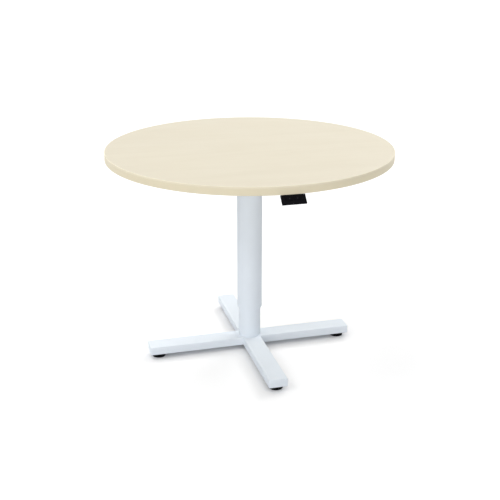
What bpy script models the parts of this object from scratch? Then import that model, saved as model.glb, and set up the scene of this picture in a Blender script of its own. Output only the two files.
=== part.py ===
"""Round height-adjustable conference table: a laminate top on a telescopic column with a four-armed base.

Units are metres and +Z is up. The front, where the control panel is, faces -Y.
The origin is on the floor, under the column's axis, and the column stands at the height of the photograph.
"""

import math

import bmesh
import bpy
from mathutils import Matrix, Vector

# Overall sizes
TOP_DIAMETER = 1.000
TOP_THICKNESS = 0.028
TABLE_HEIGHT = 0.758
LOWEST_HEIGHT = 0.650
HIGHEST_HEIGHT = 1.040
BASE_SPAN = 0.755

# Fits
GAP = 0.0003
WELD_RADIUS = 0.00001

# Sides of the round pieces, from the largest to the smallest
TOP_SIDES = 96
TUBE_SIDES = 40
ROUND_SIDES = 28
SMALL_SIDES = 16
EDGE_STEPS = 2

# Tabletop
EDGE_BAND_THICKNESS = 0.002
EDGE_ARRIS = 0.0014

# Column tubes, where the wider tube slides down over the narrower one
UPPER_TUBE_DIAMETER = 0.090
UPPER_TUBE_WALL = 0.002
LOWER_TUBE_WALL = 0.0025
GUIDE_SPACE = 0.003
TUBE_ABOVE_BASE_AT_LOWEST = 0.005
GUIDE_BUSH_LENGTH = 0.050
GUIDE_RING_LENGTH = 0.028
GUIDE_LAND = 0.008
GUIDE_RELIEF = 0.0008
BUSH_LIP = 0.002
STACK_CLEARANCE = 0.003

# Base arms, welded from rectangular tube
ARM_WIDTH = 0.066
ARM_HEIGHT = 0.030
ARM_WALL = 0.003
ARM_CORNER = 0.0025
END_PLATE_THICKNESS = 0.003

# Levelling glides
GLIDE_HEIGHT = 0.0165
GLIDE_DIAMETER = 0.048
GLIDE_INSET = 0.034
GLIDE_CHAMFER = 0.0008
GLIDE_SHOULDER = 0.003
STUD_DIAMETER = 0.010
STUD_IN_PAD = 0.007
GLIDE_NUT_WIDTH = 0.017
GLIDE_NUT_HEIGHT = 0.008

# Column foot and its bolts
FOOT_PLATE_THICKNESS = 0.014
FOOT_BOLT_DIAMETER = 0.008
FOOT_BOLT_CIRCLE = 0.044
FOOT_BOLT_GRIP = 0.012
FOOT_BOLT_HEAD_WIDTH = 0.013
FOOT_BOLT_HEAD_HEIGHT = 0.005
BOLT_CLEARANCE = 0.0005
SLEEVE_WALL = 0.003

# Spindle, its nut and its bearing
SPINDLE_DIAMETER = 0.020
SPINDLE_SPARE = 0.010
SPINDLE_CHAMFER = 0.0015
JOURNAL_DIAMETER = 0.0164
GEAR_SEAT_DIAMETER = 0.0134
TOP_JOURNAL_DIAMETER = 0.010
NUT_DIAMETER = 0.028
NUT_LENGTH = 0.040
NUT_FLANGE_DIAMETER = 0.036
NUT_FLANGE_THICKNESS = 0.006
CARRIER_THICKNESS = 0.010
BEARING_DIAMETER = 0.040
BEARING_WIDTH = 0.012
BEARING_RACE = 0.003

# Worm drive: a single-start worm beside the spindle turns a helical wheel on it
WHEEL_TEETH = 24
MODULE = 0.0016
WORM_PITCH_DIAMETER = 0.016
WORM_TURNS = 3
WORM_RUN_OUT = 0.004
WORM_SHAFT_DIAMETER = 0.008
WORM_JOURNAL_LENGTH = 0.011
WORM_STEPS_PER_TURN = 12
TOOTH_HEIGHT = 0.0013
TOOTH_ROOT = 0.0020
TOOTH_BACKLASH = 0.00035
FLANK_ANGLE = math.radians(20)
WHEEL_WIDTH = 0.010
HUB_DIAMETER = 0.022
HUB_HEIGHT = 0.014

# Gear housing, cast in one with its flange, neck and ribs
HOUSING_HEIGHT = 0.050
HOUSING_DIAMETER = 0.092
HOUSING_FLANGE = 0.104
HOUSING_FLANGE_THICKNESS = 0.008
HOUSING_CORNER = 0.012
HOUSING_RIB = 0.006
HOUSING_REACH = 0.060
SPIGOT_LENGTH = 0.012
SEAT_DEPTH = 0.014
WORM_HEIGHT_IN_HOUSING = 0.026
WEB_THICKNESS = 0.003
CHAMBER_DIAMETER = 0.046
COVER_DIAMETER = 0.060
COVER_THICKNESS = 0.006
NECK_DIAMETER = 0.030
WORM_BORE_DIAMETER = 0.021
MOTOR_FLANGE_DIAMETER = 0.046
MOTOR_FLANGE_THICKNESS = 0.006
HEAD_SCREW_DIAMETER = 0.006
HEAD_SCREW_SPACING = 0.084

# Motor, lying beside the column's head
MOTOR_DIAMETER = 0.052
MOTOR_LENGTH = 0.085
MOTOR_CAP_LENGTH = 0.014
MOTOR_BORE_DEPTH = 0.014
MOTOR_EDGE = 0.003
MOTOR_GROOVE = 0.0012

# Frame under the tabletop
HEAD_PLATE_SIZE = 0.110
HEAD_PLATE_THICKNESS = 0.005
HEAD_PLATE_CORNER = 0.008
FRAME_SPAN = 0.660
FRAME_WIDTH = 0.040
FRAME_HEIGHT = 0.020
FRAME_TIP_HEIGHT = 0.009
FRAME_LEVEL_LENGTH = 0.075
FRAME_SHEET = 0.0025
FRAME_SCREW_HOLE = 0.0055
FRAME_SCREW_PLACES = (0.125, 0.300)

# Control panel under the front edge: a face plate sloped towards a standing user, on a narrower body
PANEL_WIDTH = 0.078
PANEL_FACE_THICKNESS = 0.003
PANEL_BODY_WIDTH = 0.056
PANEL_DEPTH = 0.050
PANEL_DROP = 0.024
PANEL_OVERHANG = 0.021
PANEL_WALL = 0.002
PANEL_CORNER = 0.0015
PANEL_SLOPE = math.radians(45)
BUTTON_WIDTH = 0.019
BUTTON_LENGTH = 0.013
BUTTON_SPACING = 0.025
BUTTON_PROUD = 0.0008
BUTTON_TRAVEL = 0.0012
BUTTON_RIM = 0.0015
BUTTON_RIM_THICKNESS = 0.0012
BUTTON_ROUNDING = 0.002
SWITCH_SIZE = 0.005
SWITCH_HEIGHT = 0.0008
BOARD_THICKNESS = 0.0016
PANEL_BOARD_WIDTH = 0.050
PANEL_BOARD_LENGTH = 0.016
PANEL_BOARD_POST = 0.008
LEAD_SLOT_WIDTH = 0.010
LEAD_SLOT_HEIGHT = 0.0034

# Control box under the tabletop, behind and to the left of the column
BOX_LENGTH = 0.180
BOX_WIDTH = 0.092
BOX_HEIGHT = 0.036
BOX_WALL = 0.0025
BOX_CORNER = 0.006
BOX_CENTRE_X = -0.215
BOX_CENTRE_Y = 0.112
BOX_PLATE_THICKNESS = 0.0015
BOX_EAR = 0.016
BOX_EAR_WIDTH = 0.060
BOX_EAR_TAPER = 0.004
BOX_EAR_HOLE = 0.005
BOX_STANDOFF = 0.006
BOX_STANDOFF_DIAMETER = 0.007
BOX_BOARD_MARGIN = 0.006
BOX_BOARD_LENGTH = 0.120
VENT_COUNT = 7
VENT_WIDTH = 0.0025
VENT_HEIGHT = 0.018
VENT_PITCH = 0.010
INLET_WIDTH = 0.0284
INLET_HEIGHT = 0.0204
INLET_DEPTH = 0.019
INLET_WALL = 0.002
INLET_FLANGE = 0.003
INLET_FLANGE_THICKNESS = 0.002
INLET_BACK = 0.0035
PIN_LENGTH = 0.0100
PIN_WIDTH = 0.002
PIN_HEIGHT = 0.004
PIN_SPREAD = 0.007
PIN_STEP = 0.0042

# Levels, worked out from the sizes above
ARM_BOTTOM = GLIDE_HEIGHT
ARM_TOP = ARM_BOTTOM + ARM_HEIGHT
UNDERSIDE = TABLE_HEIGHT - TOP_THICKNESS
LIFT_DOWN = TABLE_HEIGHT - LOWEST_HEIGHT
LIFT_UP = HIGHEST_HEIGHT - TABLE_HEIGHT
UPPER_TUBE_BOTTOM = ARM_TOP + TUBE_ABOVE_BASE_AT_LOWEST + LIFT_DOWN
FRAME_TOP = UNDERSIDE - GAP
FRAME_BOTTOM = FRAME_TOP - FRAME_HEIGHT
HEAD_PLATE_TOP = FRAME_BOTTOM - GAP
HEAD_PLATE_BOTTOM = HEAD_PLATE_TOP - HEAD_PLATE_THICKNESS
HOUSING_TOP = HEAD_PLATE_BOTTOM - GAP
HOUSING_BOTTOM = HOUSING_TOP - HOUSING_HEIGHT
SPIGOT_BOTTOM = HOUSING_BOTTOM - SPIGOT_LENGTH
UPPER_TUBE_TOP = HOUSING_BOTTOM - GAP
LOWER_STACK_TOP = SPIGOT_BOTTOM - LIFT_DOWN - STACK_CLEARANCE
LOWER_TUBE_TOP = LOWER_STACK_TOP - BUSH_LIP - GAP
LOWER_TUBE_BOTTOM = ARM_TOP + GAP
BEARING_TOP = HOUSING_BOTTOM + SEAT_DEPTH - GAP
BEARING_BOTTOM = BEARING_TOP - BEARING_WIDTH
WEB_TOP = HOUSING_BOTTOM + SEAT_DEPTH + WEB_THICKNESS
WORM_LEVEL = HOUSING_BOTTOM + WORM_HEIGHT_IN_HOUSING
COVER_BOTTOM = HOUSING_TOP - COVER_THICKNESS
NUT_FLANGE_BOTTOM = LOWER_TUBE_TOP + GAP
NUT_BOTTOM = NUT_FLANGE_BOTTOM - NUT_LENGTH
SPINDLE_BOTTOM = NUT_BOTTOM - LIFT_UP - SPINDLE_SPARE

# Radii and reaches, worked out the same way
UPPER_TUBE_RADIUS = UPPER_TUBE_DIAMETER / 2
UPPER_TUBE_BORE = UPPER_TUBE_RADIUS - UPPER_TUBE_WALL
LOWER_TUBE_RADIUS = UPPER_TUBE_BORE - GUIDE_SPACE
LOWER_TUBE_BORE = LOWER_TUBE_RADIUS - LOWER_TUBE_WALL
GUIDE_OUTER = UPPER_TUBE_BORE - GAP
GUIDE_INNER = LOWER_TUBE_RADIUS + GAP
GLIDE_REACH = BASE_SPAN / 2 - GLIDE_INSET
PITCH = math.pi * MODULE
WHEEL_PITCH_RADIUS = WHEEL_TEETH * MODULE / 2
WORM_PITCH_RADIUS = WORM_PITCH_DIAMETER / 2
WORM_Y = WHEEL_PITCH_RADIUS + WORM_PITCH_RADIUS
WORM_HALF_LENGTH = WORM_TURNS * PITCH / 2 + WORM_RUN_OUT / 2
WORM_BORE_START = -WORM_HALF_LENGTH - WORM_RUN_OUT
WORM_JOURNAL_END = WORM_BORE_START - WORM_JOURNAL_LENGTH
LEAD_ANGLE = math.atan(PITCH / (2 * math.pi * WORM_PITCH_RADIUS))
TOP_RADIUS = TOP_DIAMETER / 2
PANEL_NOSE_Y = -(TOP_RADIUS + PANEL_OVERHANG)
PANEL_NOSE_Z = UNDERSIDE - PANEL_DROP
PANEL_HEIGHT = PANEL_DROP - GAP
PANEL_FACE_LENGTH = PANEL_HEIGHT / math.sin(PANEL_SLOPE)
PANEL_INNER_NOSE = PANEL_WALL / math.tan(PANEL_SLOPE) + PANEL_FACE_THICKNESS / math.sin(PANEL_SLOPE)
BUTTON_DEPTH = PANEL_FACE_THICKNESS + GAP + BUTTON_RIM_THICKNESS
BOARD_DEPTH = BUTTON_DEPTH + BUTTON_TRAVEL + GAP + SWITCH_HEIGHT
BOARD_CORNER_DROP = (BOARD_DEPTH + BOARD_THICKNESS + GAP) * math.cos(PANEL_SLOPE)
BOARD_START = (BOARD_CORNER_DROP + PANEL_WALL + GAP) / math.sin(PANEL_SLOPE)
BUTTON_PLACE = BOARD_START + PANEL_BOARD_LENGTH / 2
BOX_TOP = UNDERSIDE - GAP
BOX_BOTTOM = BOX_TOP - BOX_HEIGHT
BOX_LEFT = BOX_CENTRE_X - BOX_LENGTH / 2

ARM_DIRECTIONS = {
    "left": Vector((-1, 0, 0)),
    "right": Vector((1, 0, 0)),
    "front": Vector((0, -1, 0)),
    "back": Vector((0, 1, 0)),
}


# Scene and collections
def clear_scene():
    for old in list(bpy.data.objects):
        bpy.data.objects.remove(old, do_unlink=True)


def collection(name):
    made = bpy.data.collections.new(name)
    bpy.context.scene.collection.children.link(made)
    return made


clear_scene()
PARTS = collection("conference_table")
CUTTERS = collection("cutters")


# Materials
def principled(name, colour, roughness, metallic=0.0):
    material = bpy.data.materials.get(name)
    if material:
        return material
    material = bpy.data.materials.new(name)
    material.use_nodes = True
    shader = material.node_tree.nodes["Principled BSDF"]
    shader.inputs["Base Color"].default_value = (*colour, 1)
    shader.inputs["Roughness"].default_value = roughness
    shader.inputs["Metallic"].default_value = metallic
    return material


def pale_maple_laminate():
    return principled("pale_maple_laminate", (0.86, 0.80, 0.67), 0.45)


def maple_edge():
    return principled("maple_edge", (0.79, 0.71, 0.55), 0.5)


def white_powder_coat():
    return principled("white_powder_coat", (0.80, 0.84, 0.90), 0.4)


def black_plastic():
    return principled("black_plastic", (0.008, 0.008, 0.010), 0.45)


def grey_guide_plastic():
    return principled("grey_guide_plastic", (0.60, 0.62, 0.64), 0.5)


def nut_plastic():
    return principled("nut_plastic", (0.78, 0.74, 0.62), 0.4)


def plain_steel():
    return principled("plain_steel", (0.56, 0.57, 0.58), 0.3, 1.0)


def zinc_steel():
    return principled("zinc_steel", (0.66, 0.67, 0.69), 0.35, 1.0)


def cast_aluminium():
    return principled("cast_aluminium", (0.62, 0.63, 0.65), 0.5, 1.0)


def bronze():
    return principled("bronze", (0.55, 0.38, 0.18), 0.35, 1.0)


def circuit_green():
    return principled("circuit_green", (0.02, 0.13, 0.06), 0.4)


# Shape helpers
def finish(name, bm, material=None, location=(0, 0, 0), rotation=(0, 0, 0), smooth=None):
    """Turn a bmesh into an object: a part where it has a material, else a cutter."""
    mesh = bpy.data.meshes.new(name)
    bm.to_mesh(mesh)
    bm.free()
    return mesh_object(name, mesh, material, location, rotation, smooth)


def mesh_object(name, mesh, material=None, location=(0, 0, 0), rotation=(0, 0, 0), smooth=None):
    made = bpy.data.objects.new(name, mesh)
    made.location = location
    made.rotation_euler = rotation
    if smooth is not None:
        mesh.shade_smooth()
        mesh.set_sharp_from_angle(angle=math.radians(smooth))
    if material:
        mesh.materials.append(material)
        PARTS.objects.link(made)
    else:
        made.hide_render = True
        made.display_type = "WIRE"
        CUTTERS.objects.link(made)
    return made


def bar(name, size, location, material=None, corner=0, along=None, rotation=(0, 0, 0)):
    """A box whose edges along one axis, or all of them, are rounded."""
    bm = bmesh.new()
    bmesh.ops.create_cube(bm, size=1)
    bmesh.ops.scale(bm, vec=size, verts=bm.verts)
    if corner:
        edges = [edge for edge in bm.edges if along is None or runs_along(edge, along)]
        bmesh.ops.bevel(
            bm, geom=edges, offset=corner, segments=EDGE_STEPS, profile=0.5, affect="EDGES"
        )
    return finish(name, bm, material, location, rotation, 30 if corner else None)


def runs_along(edge, axis):
    direction = (edge.verts[1].co - edge.verts[0].co).normalized()
    return abs(direction[axis]) > 0.99


def rod(name, radius, length, location, material=None, sides=SMALL_SIDES, rotation=(0, 0, 0)):
    """A round or many-sided bar along its own Z, centred on its location."""
    bm = bmesh.new()
    bmesh.ops.create_cone(
        bm, cap_ends=True, segments=sides, radius1=radius, radius2=radius, depth=length
    )
    return finish(name, bm, material, location, rotation, 30)


def turned(name, profile, material=None, location=(0, 0, 0), sides=ROUND_SIDES, rotation=(0, 0, 0)):
    """A profile of (radius, height) points, from the top down its outer side, turned about Z.

    A profile that starts and ends on the axis makes a solid shape, and any other is closed into a ring.
    """
    bm = bmesh.new()
    points = [bm.verts.new((radius, 0, height)) for radius, height in profile]
    for start, end in zip(points, points[1:]):
        bm.edges.new((start, end))
    if profile[0][0] > 0:
        bm.edges.new((points[-1], points[0]))
    made = finish(name, bm, material, location, rotation)
    screw = made.modifiers.new("turn", "SCREW")
    screw.axis = "Z"
    screw.steps = sides
    screw.render_steps = sides
    screw.use_merge_vertices = True
    screw.merge_threshold = WELD_RADIUS
    screw.use_smooth_shade = True
    return made


def ring(name, outer, inner, bottom, top, material=None, sides=TUBE_SIDES):
    profile = [(outer, top), (outer, bottom), (inner, bottom), (inner, top)]
    return turned(name, profile, material, sides=sides)


def slab(name, outline, thickness, material=None, location=(0, 0, 0), rotation=(0, 0, 0)):
    """A flat outline of (x, y) points given its thickness, half to each side of its own XY plane."""
    curve = bpy.data.curves.new(name, "CURVE")
    curve.dimensions = "2D"
    curve.fill_mode = "BOTH"
    curve.extrude = thickness / 2
    spline = curve.splines.new("POLY")
    spline.points.add(len(outline) - 1)
    for point, (x, y) in zip(spline.points, outline):
        point.co = (x, y, 0, 1)
    spline.use_cyclic_u = True
    drawn = bpy.data.objects.new(name, curve)
    CUTTERS.objects.link(drawn)
    mesh = solid_mesh(drawn)
    bpy.data.objects.remove(drawn)
    mesh.name = name
    return mesh_object(name, mesh, material, location, rotation)


def solid_mesh(drawn):
    """The evaluated mesh of an object, with its loose caps joined on."""
    graph = bpy.context.evaluated_depsgraph_get()
    mesh = bpy.data.meshes.new_from_object(drawn.evaluated_get(graph))
    bm = bmesh.new()
    bm.from_mesh(mesh)
    bmesh.ops.remove_doubles(bm, verts=bm.verts, dist=WELD_RADIUS)
    bmesh.ops.recalc_face_normals(bm, faces=bm.faces)
    bm.to_mesh(mesh)
    bm.free()
    return mesh


def combine(target, tool, operation):
    step = target.modifiers.new(f"{operation.lower()} {tool.name}", "BOOLEAN")
    step.operation = operation
    step.solver = "EXACT"
    step.object = tool


def cut(target, *tools):
    for tool in tools:
        combine(target, tool, "DIFFERENCE")
    return target


def join(target, *tools):
    for tool in tools:
        combine(target, tool, "UNION")
    return target


def weld(made):
    """Merge the points that several cuts leave on top of each other."""
    step = made.modifiers.new("weld", "WELD")
    step.merge_threshold = WELD_RADIUS
    return made


def joint(name, location, parent=None):
    """An empty on a joint's axis."""
    empty = bpy.data.objects.new(name, None)
    empty.empty_display_size = 0.03
    empty.location = location
    PARTS.objects.link(empty)
    if parent:
        carry(parent, empty)
    return empty


def carry(parent, *pieces):
    """Parent pieces to a joint's empty and leave them where they stand."""
    bpy.context.view_layer.update()
    for piece in pieces:
        piece.parent = parent
        piece.matrix_parent_inverse = parent.matrix_world.inverted()


def corners(spacing):
    """The four corners of a square about the column's axis, with their names."""
    for side, x in (("left", -1), ("right", 1)):
        for end, y in (("front", -1), ("back", 1)):
            yield f"{end}_{side}", Vector((x, y, 0)) * spacing / 2


# Base
def tube_bar(name, length, location, turn):
    """A closed-corner rectangular tube along its own X, open at its ends."""
    outer = (length, ARM_WIDTH, ARM_HEIGHT)
    inner = (length + 4 * ARM_WALL, ARM_WIDTH - 2 * ARM_WALL, ARM_HEIGHT - 2 * ARM_WALL)
    made = bar(name, outer, location, white_powder_coat(), ARM_CORNER, 0, (0, 0, turn))
    hollow = bar(f"{name}_hollow", inner, location, rotation=(0, 0, turn))
    return cut(made, hollow)


def arm_bolt_hole(name, place):
    radius = FOOT_BOLT_DIAMETER / 2 + BOLT_CLEARANCE
    middle = (place.x, place.y, ARM_BOTTOM + ARM_HEIGHT / 2)
    return rod(f"bolt_hole_{name}", radius, ARM_HEIGHT * 2, middle)


def glide_hole(name):
    """A hole through an arm's lower wall for a glide's stud."""
    place = ARM_DIRECTIONS[name] * GLIDE_REACH
    radius = STUD_DIAMETER / 2 + BOLT_CLEARANCE
    return rod(f"stud_hole_{name}", radius, ARM_WALL * 4, (place.x, place.y, ARM_BOTTOM))


def base_long_bar():
    length = BASE_SPAN - 2 * (END_PLATE_THICKNESS + GAP)
    made = tube_bar("base_long_bar", length, (0, 0, ARM_BOTTOM + ARM_HEIGHT / 2), 0)
    spacing = FOOT_BOLT_CIRCLE / math.sqrt(2)
    for name, place in corners(spacing):
        cut(made, arm_bolt_hole(name, place))
    return cut(made, glide_hole("left"), glide_hole("right"))


def base_short_arm(side):
    """The front or the back arm, welded square against the long bar."""
    inner_end = ARM_WIDTH / 2 + GAP
    outer_end = BASE_SPAN / 2 - END_PLATE_THICKNESS - GAP
    middle = ARM_DIRECTIONS[side] * (inner_end + outer_end) / 2
    place = (middle.x, middle.y, ARM_BOTTOM + ARM_HEIGHT / 2)
    made = tube_bar(f"base_{side}_arm", outer_end - inner_end, place, math.pi / 2)
    return cut(made, glide_hole(side))


def end_plate(side):
    direction = ARM_DIRECTIONS[side]
    middle = direction * (BASE_SPAN - END_PLATE_THICKNESS) / 2
    turn = math.atan2(direction.y, direction.x)
    size = (END_PLATE_THICKNESS, ARM_WIDTH, ARM_HEIGHT)
    place = (middle.x, middle.y, ARM_BOTTOM + ARM_HEIGHT / 2)
    return bar(f"end_plate_{side}", size, place, white_powder_coat(), ARM_CORNER, 0, (0, 0, turn))


def glide_nut(side):
    """A weld nut on the inside of an arm's lower wall."""
    place = ARM_DIRECTIONS[side] * GLIDE_REACH
    middle = (place.x, place.y, ARM_BOTTOM + ARM_WALL + GAP + GLIDE_NUT_HEIGHT / 2)
    corner_radius = GLIDE_NUT_WIDTH / 2 / math.cos(math.pi / 6)
    made = rod(f"glide_nut_{side}", corner_radius, GLIDE_NUT_HEIGHT, middle, zinc_steel(), 6)
    radius = STUD_DIAMETER / 2 + GAP
    return cut(made, rod(f"glide_nut_bore_{side}", radius, GLIDE_NUT_HEIGHT * 2, middle))


def glide_pad(side):
    place = ARM_DIRECTIONS[side] * GLIDE_REACH
    radius = GLIDE_DIAMETER / 2
    top = ARM_BOTTOM - GAP
    socket = STUD_DIAMETER / 2 + GAP
    floor = top - STUD_IN_PAD - GAP
    profile = [
        (socket, top),
        (radius - 2 * GLIDE_SHOULDER, top),
        (radius - GLIDE_SHOULDER / 2, top - GLIDE_SHOULDER / 2),
        (radius, top - 1.5 * GLIDE_SHOULDER),
        (radius, GLIDE_CHAMFER),
        (radius - GLIDE_CHAMFER, 0),
        (0, 0),
    ]
    profile = [(0, floor), (socket, floor)] + profile
    return turned(f"glide_pad_{side}", profile, black_plastic(), (place.x, place.y, 0))


def glide_stud(side):
    place = ARM_DIRECTIONS[side] * GLIDE_REACH
    radius = STUD_DIAMETER / 2
    bottom = ARM_BOTTOM - GAP - STUD_IN_PAD
    top = ARM_TOP - ARM_WALL - GLIDE_CHAMFER
    profile = [
        (0, top),
        (radius - GLIDE_CHAMFER, top),
        (radius, top - GLIDE_CHAMFER),
        (radius, bottom),
        (0, bottom),
    ]
    name = f"glide_stud_{side}"
    return turned(name, profile, zinc_steel(), (place.x, place.y, 0), SMALL_SIDES)


def foot_plate():
    """The thick disc welded into the lower tube's foot, drilled for the four base bolts."""
    level = LOWER_TUBE_BOTTOM + FOOT_PLATE_THICKNESS / 2
    outer = LOWER_TUBE_BORE - GAP
    middle = (0, 0, level)
    made = rod("foot_plate", outer, FOOT_PLATE_THICKNESS, middle, plain_steel(), TUBE_SIDES)
    for name, place in corners(FOOT_BOLT_CIRCLE / math.sqrt(2)):
        radius = FOOT_BOLT_DIAMETER / 2 + GAP
        hole = (place.x, place.y, level)
        cut(made, rod(f"foot_thread_{name}", radius, FOOT_PLATE_THICKNESS * 2, hole))
    return made


def foot_bolt(name, place):
    """A hexagon-head bolt, from under the long bar up into the foot plate."""
    shoulder = ARM_BOTTOM - GAP
    tip = LOWER_TUBE_BOTTOM + FOOT_BOLT_GRIP
    middle = (place.x, place.y, shoulder - FOOT_BOLT_HEAD_HEIGHT / 2)
    width = FOOT_BOLT_HEAD_WIDTH / 2 / math.cos(math.pi / 6)
    made = rod(f"foot_bolt_{name}", width, FOOT_BOLT_HEAD_HEIGHT, middle, zinc_steel(), 6)
    sunk = FOOT_BOLT_HEAD_HEIGHT / 2
    shank_middle = (place.x, place.y, (shoulder - sunk + tip) / 2)
    length = tip - shoulder + sunk
    return join(made, rod(f"bolt_shank_{name}", FOOT_BOLT_DIAMETER / 2, length, shank_middle))


def bolt_sleeve(name, place):
    """A spacer tube that keeps a base bolt from crushing the long bar."""
    inner = FOOT_BOLT_DIAMETER / 2 + BOLT_CLEARANCE
    bottom = ARM_BOTTOM + ARM_WALL + GAP
    top = ARM_TOP - ARM_WALL - GAP
    profile = [
        (inner + SLEEVE_WALL, top),
        (inner + SLEEVE_WALL, bottom),
        (inner, bottom),
        (inner, top),
    ]
    where = (place.x, place.y, 0)
    return turned(f"bolt_sleeve_{name}", profile, plain_steel(), where, SMALL_SIDES)


def lower_tube():
    return ring(
        "lower_tube",
        LOWER_TUBE_RADIUS,
        LOWER_TUBE_BORE,
        LOWER_TUBE_BOTTOM,
        LOWER_TUBE_TOP,
        white_powder_coat(),
    )


def upper_guide_bush():
    """The slide bush round the lower tube's top, with two lands and a lip over the tube's end."""
    bottom = LOWER_STACK_TOP - GUIDE_BUSH_LENGTH
    relief = GUIDE_OUTER - GUIDE_RELIEF
    profile = [
        (GUIDE_OUTER, LOWER_STACK_TOP),
        (GUIDE_OUTER, LOWER_STACK_TOP - GUIDE_LAND),
        (relief, LOWER_STACK_TOP - GUIDE_LAND - GUIDE_RELIEF),
        (relief, bottom + GUIDE_LAND + GUIDE_RELIEF),
        (GUIDE_OUTER, bottom + GUIDE_LAND),
        (GUIDE_OUTER, bottom),
        (GUIDE_INNER, bottom),
        (GUIDE_INNER, LOWER_TUBE_TOP + GAP),
        (LOWER_TUBE_BORE, LOWER_TUBE_TOP + GAP),
        (LOWER_TUBE_BORE, LOWER_STACK_TOP),
    ]
    return turned("upper_guide_bush", profile, grey_guide_plastic(), sides=TUBE_SIDES)


def nut_carrier():
    """The disc welded into the lower tube's top, which holds the spindle nut."""
    return ring(
        "nut_carrier",
        LOWER_TUBE_BORE - GAP,
        NUT_DIAMETER / 2 + GAP,
        LOWER_TUBE_TOP - CARRIER_THICKNESS,
        LOWER_TUBE_TOP,
        plain_steel(),
    )


def spindle_nut():
    bore = SPINDLE_DIAMETER / 2 + GAP
    top = NUT_FLANGE_BOTTOM + NUT_FLANGE_THICKNESS
    profile = [
        (NUT_FLANGE_DIAMETER / 2, top),
        (NUT_FLANGE_DIAMETER / 2, NUT_FLANGE_BOTTOM),
        (NUT_DIAMETER / 2, NUT_FLANGE_BOTTOM),
        (NUT_DIAMETER / 2, NUT_BOTTOM),
        (bore, NUT_BOTTOM),
        (bore, top),
    ]
    return turned("spindle_nut", profile, nut_plastic())


# Column's moving part
def upper_tube():
    return ring(
        "upper_tube",
        UPPER_TUBE_RADIUS,
        UPPER_TUBE_BORE,
        UPPER_TUBE_BOTTOM,
        UPPER_TUBE_TOP,
        white_powder_coat(),
    )


def lower_guide_ring():
    """The slide ring in the upper tube's mouth, flush with the tube's end."""
    return ring(
        "lower_guide_ring",
        GUIDE_OUTER,
        GUIDE_INNER,
        UPPER_TUBE_BOTTOM,
        UPPER_TUBE_BOTTOM + GUIDE_RING_LENGTH,
        grey_guide_plastic(),
    )


def housing_rib(turn):
    """A triangular rib along a diagonal, under the flange."""
    reach = HEAD_SCREW_SPACING / math.sqrt(2) - HEAD_SCREW_DIAMETER - GAP
    root = HOUSING_DIAMETER / 2 - HOUSING_RIB
    top = HOUSING_TOP - HOUSING_FLANGE_THICKNESS / 2
    outline = [(root, HOUSING_BOTTOM + HOUSING_RIB), (reach, top), (root, top)]
    name = f"housing_rib_{round(math.degrees(turn))}"
    return slab(name, outline, HOUSING_RIB, rotation=(math.pi / 2, 0, turn))


def housing_shapes():
    """What is cast round the column's axis and round the worm: spigot, barrel, flange, neck and ribs."""
    barrel_top = HOUSING_TOP - HOUSING_FLANGE_THICKNESS / 2
    spigot = [
        (0, barrel_top),
        (HOUSING_DIAMETER / 2, barrel_top),
        (HOUSING_DIAMETER / 2, HOUSING_BOTTOM),
        (GUIDE_OUTER, HOUSING_BOTTOM),
        (GUIDE_OUTER, SPIGOT_BOTTOM),
        (0, SPIGOT_BOTTOM),
    ]
    made = turned("gear_housing", spigot, cast_aluminium(), sides=TUBE_SIDES)
    flange = bar(
        "housing_flange",
        (HOUSING_FLANGE, HOUSING_FLANGE, HOUSING_FLANGE_THICKNESS),
        (0, 0, HOUSING_TOP - HOUSING_FLANGE_THICKNESS / 2),
        corner=HOUSING_CORNER,
        along=2,
    )
    across = (0, math.pi / 2, 0)
    neck_length = HOUSING_REACH - MOTOR_FLANGE_THICKNESS / 2
    neck_place = (neck_length / 2, WORM_Y, WORM_LEVEL)
    neck = rod("housing_neck", NECK_DIAMETER / 2, neck_length, neck_place, None, ROUND_SIDES, across)
    seat_place = (HOUSING_REACH - MOTOR_FLANGE_THICKNESS / 2, WORM_Y, WORM_LEVEL)
    seat = rod(
        "motor_seat",
        MOTOR_FLANGE_DIAMETER / 2,
        MOTOR_FLANGE_THICKNESS,
        seat_place,
        None,
        ROUND_SIDES,
        across,
    )
    join(made, flange, neck, seat)
    for quarter in range(4):
        join(made, housing_rib(math.pi / 4 + quarter * math.pi / 2))
    return made


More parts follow.
